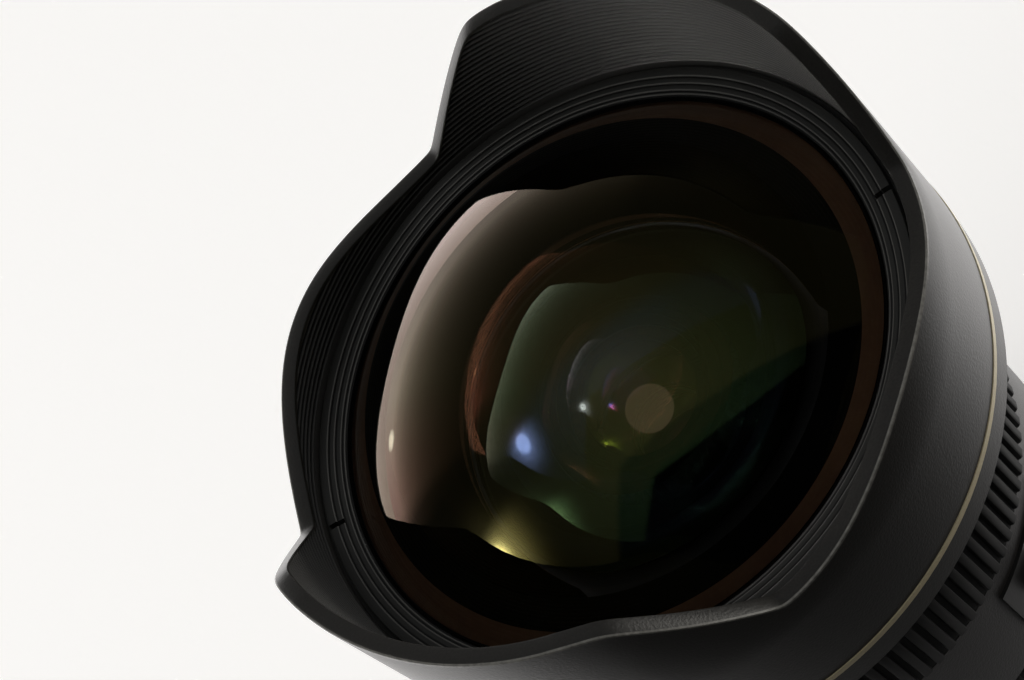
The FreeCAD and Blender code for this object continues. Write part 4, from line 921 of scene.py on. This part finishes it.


# Hood barrel. The petalled hood is one aluminium casting with the front barrel, turned, milled to its
# wavy outline, blasted and hard anodised, so it is dark, satin and faintly pebbled, with paler worn edges
# that also carry a painted highlight.

# Blasted and hard anodised aluminium: a dark satin skin. Its pebbles are really 0.1 mm across, and are
# drawn coarser so that they show.
hood_coat, tree, shader, place = surface(
    "blasted_black_hard_anodising", Base_Color=linear("#1D1C1A"), Roughness=0.4,
)
grain = add(tree, "ShaderNodeTexVoronoi", {"Vector": place, "Scale": 1 / (0.4 * MM)})
crumb = add(tree, "ShaderNodeTexNoise", {"Vector": place, "Scale": 1 / (0.303 * MM), "Detail": 3.0})
height = add(
    tree, "ShaderNodeMath", {0: grain.outputs["Distance"], 1: crumb.outputs["Fac"]}, operation="ADD",
)
shade = add(tree, "ShaderNodeBump", {"Height": height.outputs[0], "Distance": 0.06 * MM, "Strength": 0.3})
tree.links.new(shade.outputs["Normal"], shader.inputs["Normal"])
speck = add(
    tree, "ShaderNodeMix", {"Factor": crumb.outputs["Fac"], 6: linear("#121211"), 7: linear("#2A2825")},
    data_type="RGBA",
)
tree.links.new(speck.outputs[2], shader.inputs["Base Color"])

# Baffle paint: dull black, with painted shade that turns it blacker down in the grooves.
hood_dark, tree, shader, place = surface(
    "matt_black_baffle_paint_and_groove_shade", Base_Color=linear("#383736"), Roughness=0.42,
)
fine_skin(tree, shader, place, grain=0.278, detail=3.0, depth=0.03, strength=0.4)
radius = from_axis(tree, place)
# Painted shade: the colour darkens to near black towards the grooves' floors.
depth = add(
    tree, "ShaderNodeMapRange",
    {"Value": radius, "From Min": 46.56 * MM, "From Max": 46.78 * MM},
)
tone = add(
    tree, "ShaderNodeMix",
    {"Factor": depth.outputs["Result"], 6: linear("#3E3D3B"), 7: linear("#080808")}, data_type="RGBA",
)
tree.links.new(tone.outputs[2], shader.inputs["Base Color"])

# The bevel where handling has rubbed the anodising, made paler still as a painted highlight: a thin pale,
# glossier line.
hood_edge, tree, shader, place = surface(
    "worn_anodised_edge_and_painted_highlight", Base_Color=linear("#55534F"), Roughness=0.26,
)
two_tones(tree, shader, place, patch=0.769, detail=4.0, dark="#3A3936", pale="#7A7873")

# Sizes of the petals' edge in mm and degrees: a low wave over each short petal, straight flanks up to a
# bowed long petal, and the three joined in soft corners.
short_foot, short_crown, short_half = 113.6, 4.8, 36.0
flank_foot, flank_slope, flank_start = 112.7, 0.862, 37.0
long_top, long_bow, tip_height = 130.6, 0.9, 131.5
shoulder_round, foot_round, foot_from = 2.0, 0.7, 30.0


def petal_edge(degrees):
    """Height of the petals' edge at this angle from the middle of a short petal."""
    folded = degrees % 180.0
    folded = min(folded, 180.0 - folded)
    wave = (1 + math.cos(math.pi * min(folded, short_half) / short_half)) / 2
    low = short_foot + short_crown * wave
    if folded <= foot_from:
        return low
    flank = flank_foot + flank_slope * (folded - flank_start)
    bow = math.sin(math.radians(folded))
    top = long_top + long_bow * bow ** 4
    high = min((flank + top - math.hypot(flank - top, shoulder_round)) / 2 + bow ** 8, tip_height)
    return (high + low + math.hypot(high - low, foot_round)) / 2


# The wall's outline as (radius, height) in mm, from the rear bore up the outside and down the grooves.
# The lip's points are (radius, height over the edge), and wait above lip_mark until the edge is known.
inner_wall, outer_wall, lip_mark = 46.5, 49.0, 200.0
lip = [
    (outer_wall, -0.35), (outer_wall - 0.1, -0.1), (outer_wall - 0.35, 0.0),
    (inner_wall + 0.35, 0.0), (inner_wall + 0.1, -0.1), (inner_wall, -0.35),
]
shoulder = [(30.9, 89.0), (30.9, 87.1), (47.8, 87.1), (48.8, 88.1)]
gold_groove = [(48.9, 92.45), (48.55, 92.5), (48.55, 93.5), (48.9, 93.55)]
flank_line = [(outer_wall, 96.0), (outer_wall, 108.0)]
raised_lip = [(radius, lip_mark + count) for count, (radius, height) in enumerate(lip)]
groove_count, first_groove, groove_pitch, groove_floor = 22, 111.35, 0.9, inner_wall + 0.36
grooves = []
for step in range(groove_count):
    low = first_groove + groove_pitch * step
    grooves += [
        (inner_wall, low), (inner_wall, low + 0.16), (groove_floor, low + 0.4),
        (groove_floor, low + 0.66),
    ]
trim_seat = [(inner_wall, 108.0), (42.9, 108.0), (42.9, 106.5), (inner_wall, 106.5), (inner_wall, 89.0)]
bm = spun(shoulder + gold_groove + flank_line + raised_lip + grooves[::-1] + trim_seat, 720)

# Each point over the trim ring's seat comes down to the petals' edge, and grooves above it close up.
seat_top, plain_lip = 109.0, 0.5
for v in bm.verts:
    reach = math.hypot(v.co.x, v.co.y)
    if v.co.z < seat_top:
        continue
    edge = petal_edge(math.degrees(math.atan2(v.co.y, v.co.x)))
    if v.co.z >= lip_mark:
        v.co.z = edge + lip[round(v.co.z - lip_mark)][1]
    elif v.co.z > edge - plain_lip:
        v.co.x *= inner_wall / reach
        v.co.y *= inner_wall / reach
        v.co.z = edge - plain_lip
bmesh.ops.remove_doubles(bm, verts=bm.verts, dist=1e-4)

# The inside is painted below the lip, and the outer bevel of the lip is worn and carries a painted
# highlight.
baffle_paint, worn_and_highlit_bevel = 1, 2
for f in bm.faces:
    middle = f.calc_center_median()
    reach = math.hypot(middle.x, middle.y)
    fall = petal_edge(math.degrees(math.atan2(middle.y, middle.x))) - middle.z
    if reach < groove_floor + 0.01 and fall > 0.45:
        f.material_index = baffle_paint
    elif outer_wall - 0.3 < reach < outer_wall - 0.02 and fall < 0.4:
        f.material_index = worn_and_highlit_bevel
bmesh.ops.scale(bm, verts=bm.verts, vec=(MM, MM, MM))
piece("petal_hood", bm, [hood_coat, hood_dark, hood_edge], "root", "hood_finish", 30, "hood_barrel")

# Black oxide on steel: a dark metal, dull in patches.
hood_screw, tree, shader, place = surface(
    "black_oxide_screw", Base_Color=linear("#3A3938"), Metallic=1.0, Roughness=0.38,
)
rubbed_patches(tree, shader, place, patch=0.417, detail=3.0, glossy=0.3, dull=0.5)
smooth_copy("hood_screws", "hood_fixing_screws", hood_screw, "root", "black_screw")


# Gold line. A shallow groove is turned round the hood's rear edge and filled with pale gold enamel,
# built up until it stands a hair proud of the face.

# Enamel with gold flake: a pale warm line with a faint fleck.
gilt, tree, shader, place = surface(
    "pale_gold_line_enamel", Base_Color=linear("#C8BC9C"), Metallic=0.2, Roughness=0.4,
)
two_tones(tree, shader, place, patch=0.357, detail=3.0, dark="#BCAE8C", pale="#D6CBAC")
smooth_copy("gold_ring", "gold_line", gilt, "root", "gold_paint")


# Trim ring. A matt black moulded ring with shallow steps closes the gap between the hood and the
# front glass, and two notches in it take the spanner that presses it in.

# Moulded plastic, finely etched: a dull black, with a painted highlight on its crests and painted shade
# in the corners below them.
trim_coat, tree, shader, place = surface(
    "matt_black_moulded_trim", Base_Color=linear("#232321"), Roughness=0.42,
)
fine_skin(tree, shader, place, grain=0.238, detail=3.0, depth=0.02, strength=0.4)

# The ramp runs outwards from 41 to 46 mm: at each step's foot a black corner of painted shade, then a
# pale painted highlight on its crest.
ramp_inner, ramp_outer = 41, 46
crests = ((44.2, 111.3), (43.15, 111.1), (42.15, 110.9), (41.6, 110.7))
plain, corner, crest_highlight = "#222220", "#050505", "#4A4946"
radius = from_axis(tree, place)
along = add(
    tree, "ShaderNodeMapRange",
    {"Value": radius, "From Min": ramp_inner * MM, "From Max": ramp_outer * MM},
)
shade_and_highlight_ramp = add(tree, "ShaderNodeValToRGB", {"Fac": along.outputs["Result"]})
shade_and_highlight_stops = []
for crest, top in reversed(crests):
    shade_and_highlight_stops += [(crest - 0.3, plain), (crest - 0.27, corner), (crest - 0.02, corner)]
    shade_and_highlight_stops += [(crest + 0.01, crest_highlight), (crest + 0.14, crest_highlight), (crest + 0.18, plain)]
band = shade_and_highlight_ramp.color_ramp.elements
while len(band) < len(shade_and_highlight_stops):
    band.new(0.5)
for stop, (reach, code) in zip(band, shade_and_highlight_stops):
    stop.position = (reach - ramp_inner) / (ramp_outer - ramp_inner)
    stop.color = linear(code)
tree.links.new(shade_and_highlight_ramp.outputs["Color"], shader.inputs["Base Color"])

ridge, riser = 0.14, 0.2
outline = [(46.4, 108.0), (46.4, 110.2), (45.75, 110.2), (45.6, 111.22), (45.52, 111.3)]
for crest, top in crests:
    outline += [(crest + ridge, top), (crest, top - ridge / 2), (crest, top - riser)]
outline += [(41.35, 110.45), (41.35, 108.0)]
bm = spun(outline, 720)

# Two notches for the spanner, opposite each other in the two outer steps, in degrees and mm.
notch_turn, notch_half, notch_depth = 38.0, 0.6, 1.5
notch_inner, notch_outer, notch_above = 43.1, 45.7, 110.0
cut = []
for f in bm.faces:
    middle = f.calc_center_median()
    reach = math.hypot(middle.x, middle.y)
    turn = (math.degrees(math.atan2(middle.y, middle.x)) - notch_turn) % 180.0
    beside = min(turn, 180.0 - turn) < notch_half
    if notch_inner < reach < notch_outer and beside and middle.z > notch_above:
        cut.append(f)
grown = bmesh.ops.extrude_face_region(bm, geom=cut)["geom"]
sunk = [g for g in grown if isinstance(g, bmesh.types.BMVert)]
bmesh.ops.translate(bm, verts=sunk, vec=(0, 0, -notch_depth))
bmesh.ops.delete(bm, geom=cut, context="FACES")
bmesh.ops.recalc_face_normals(bm, faces=bm.faces)
bmesh.ops.scale(bm, verts=bm.verts, vec=(MM, MM, MM))
piece("stepped_trim_ring", bm, trim_coat, "root", "trim_black", 30, "front_trim_ring")
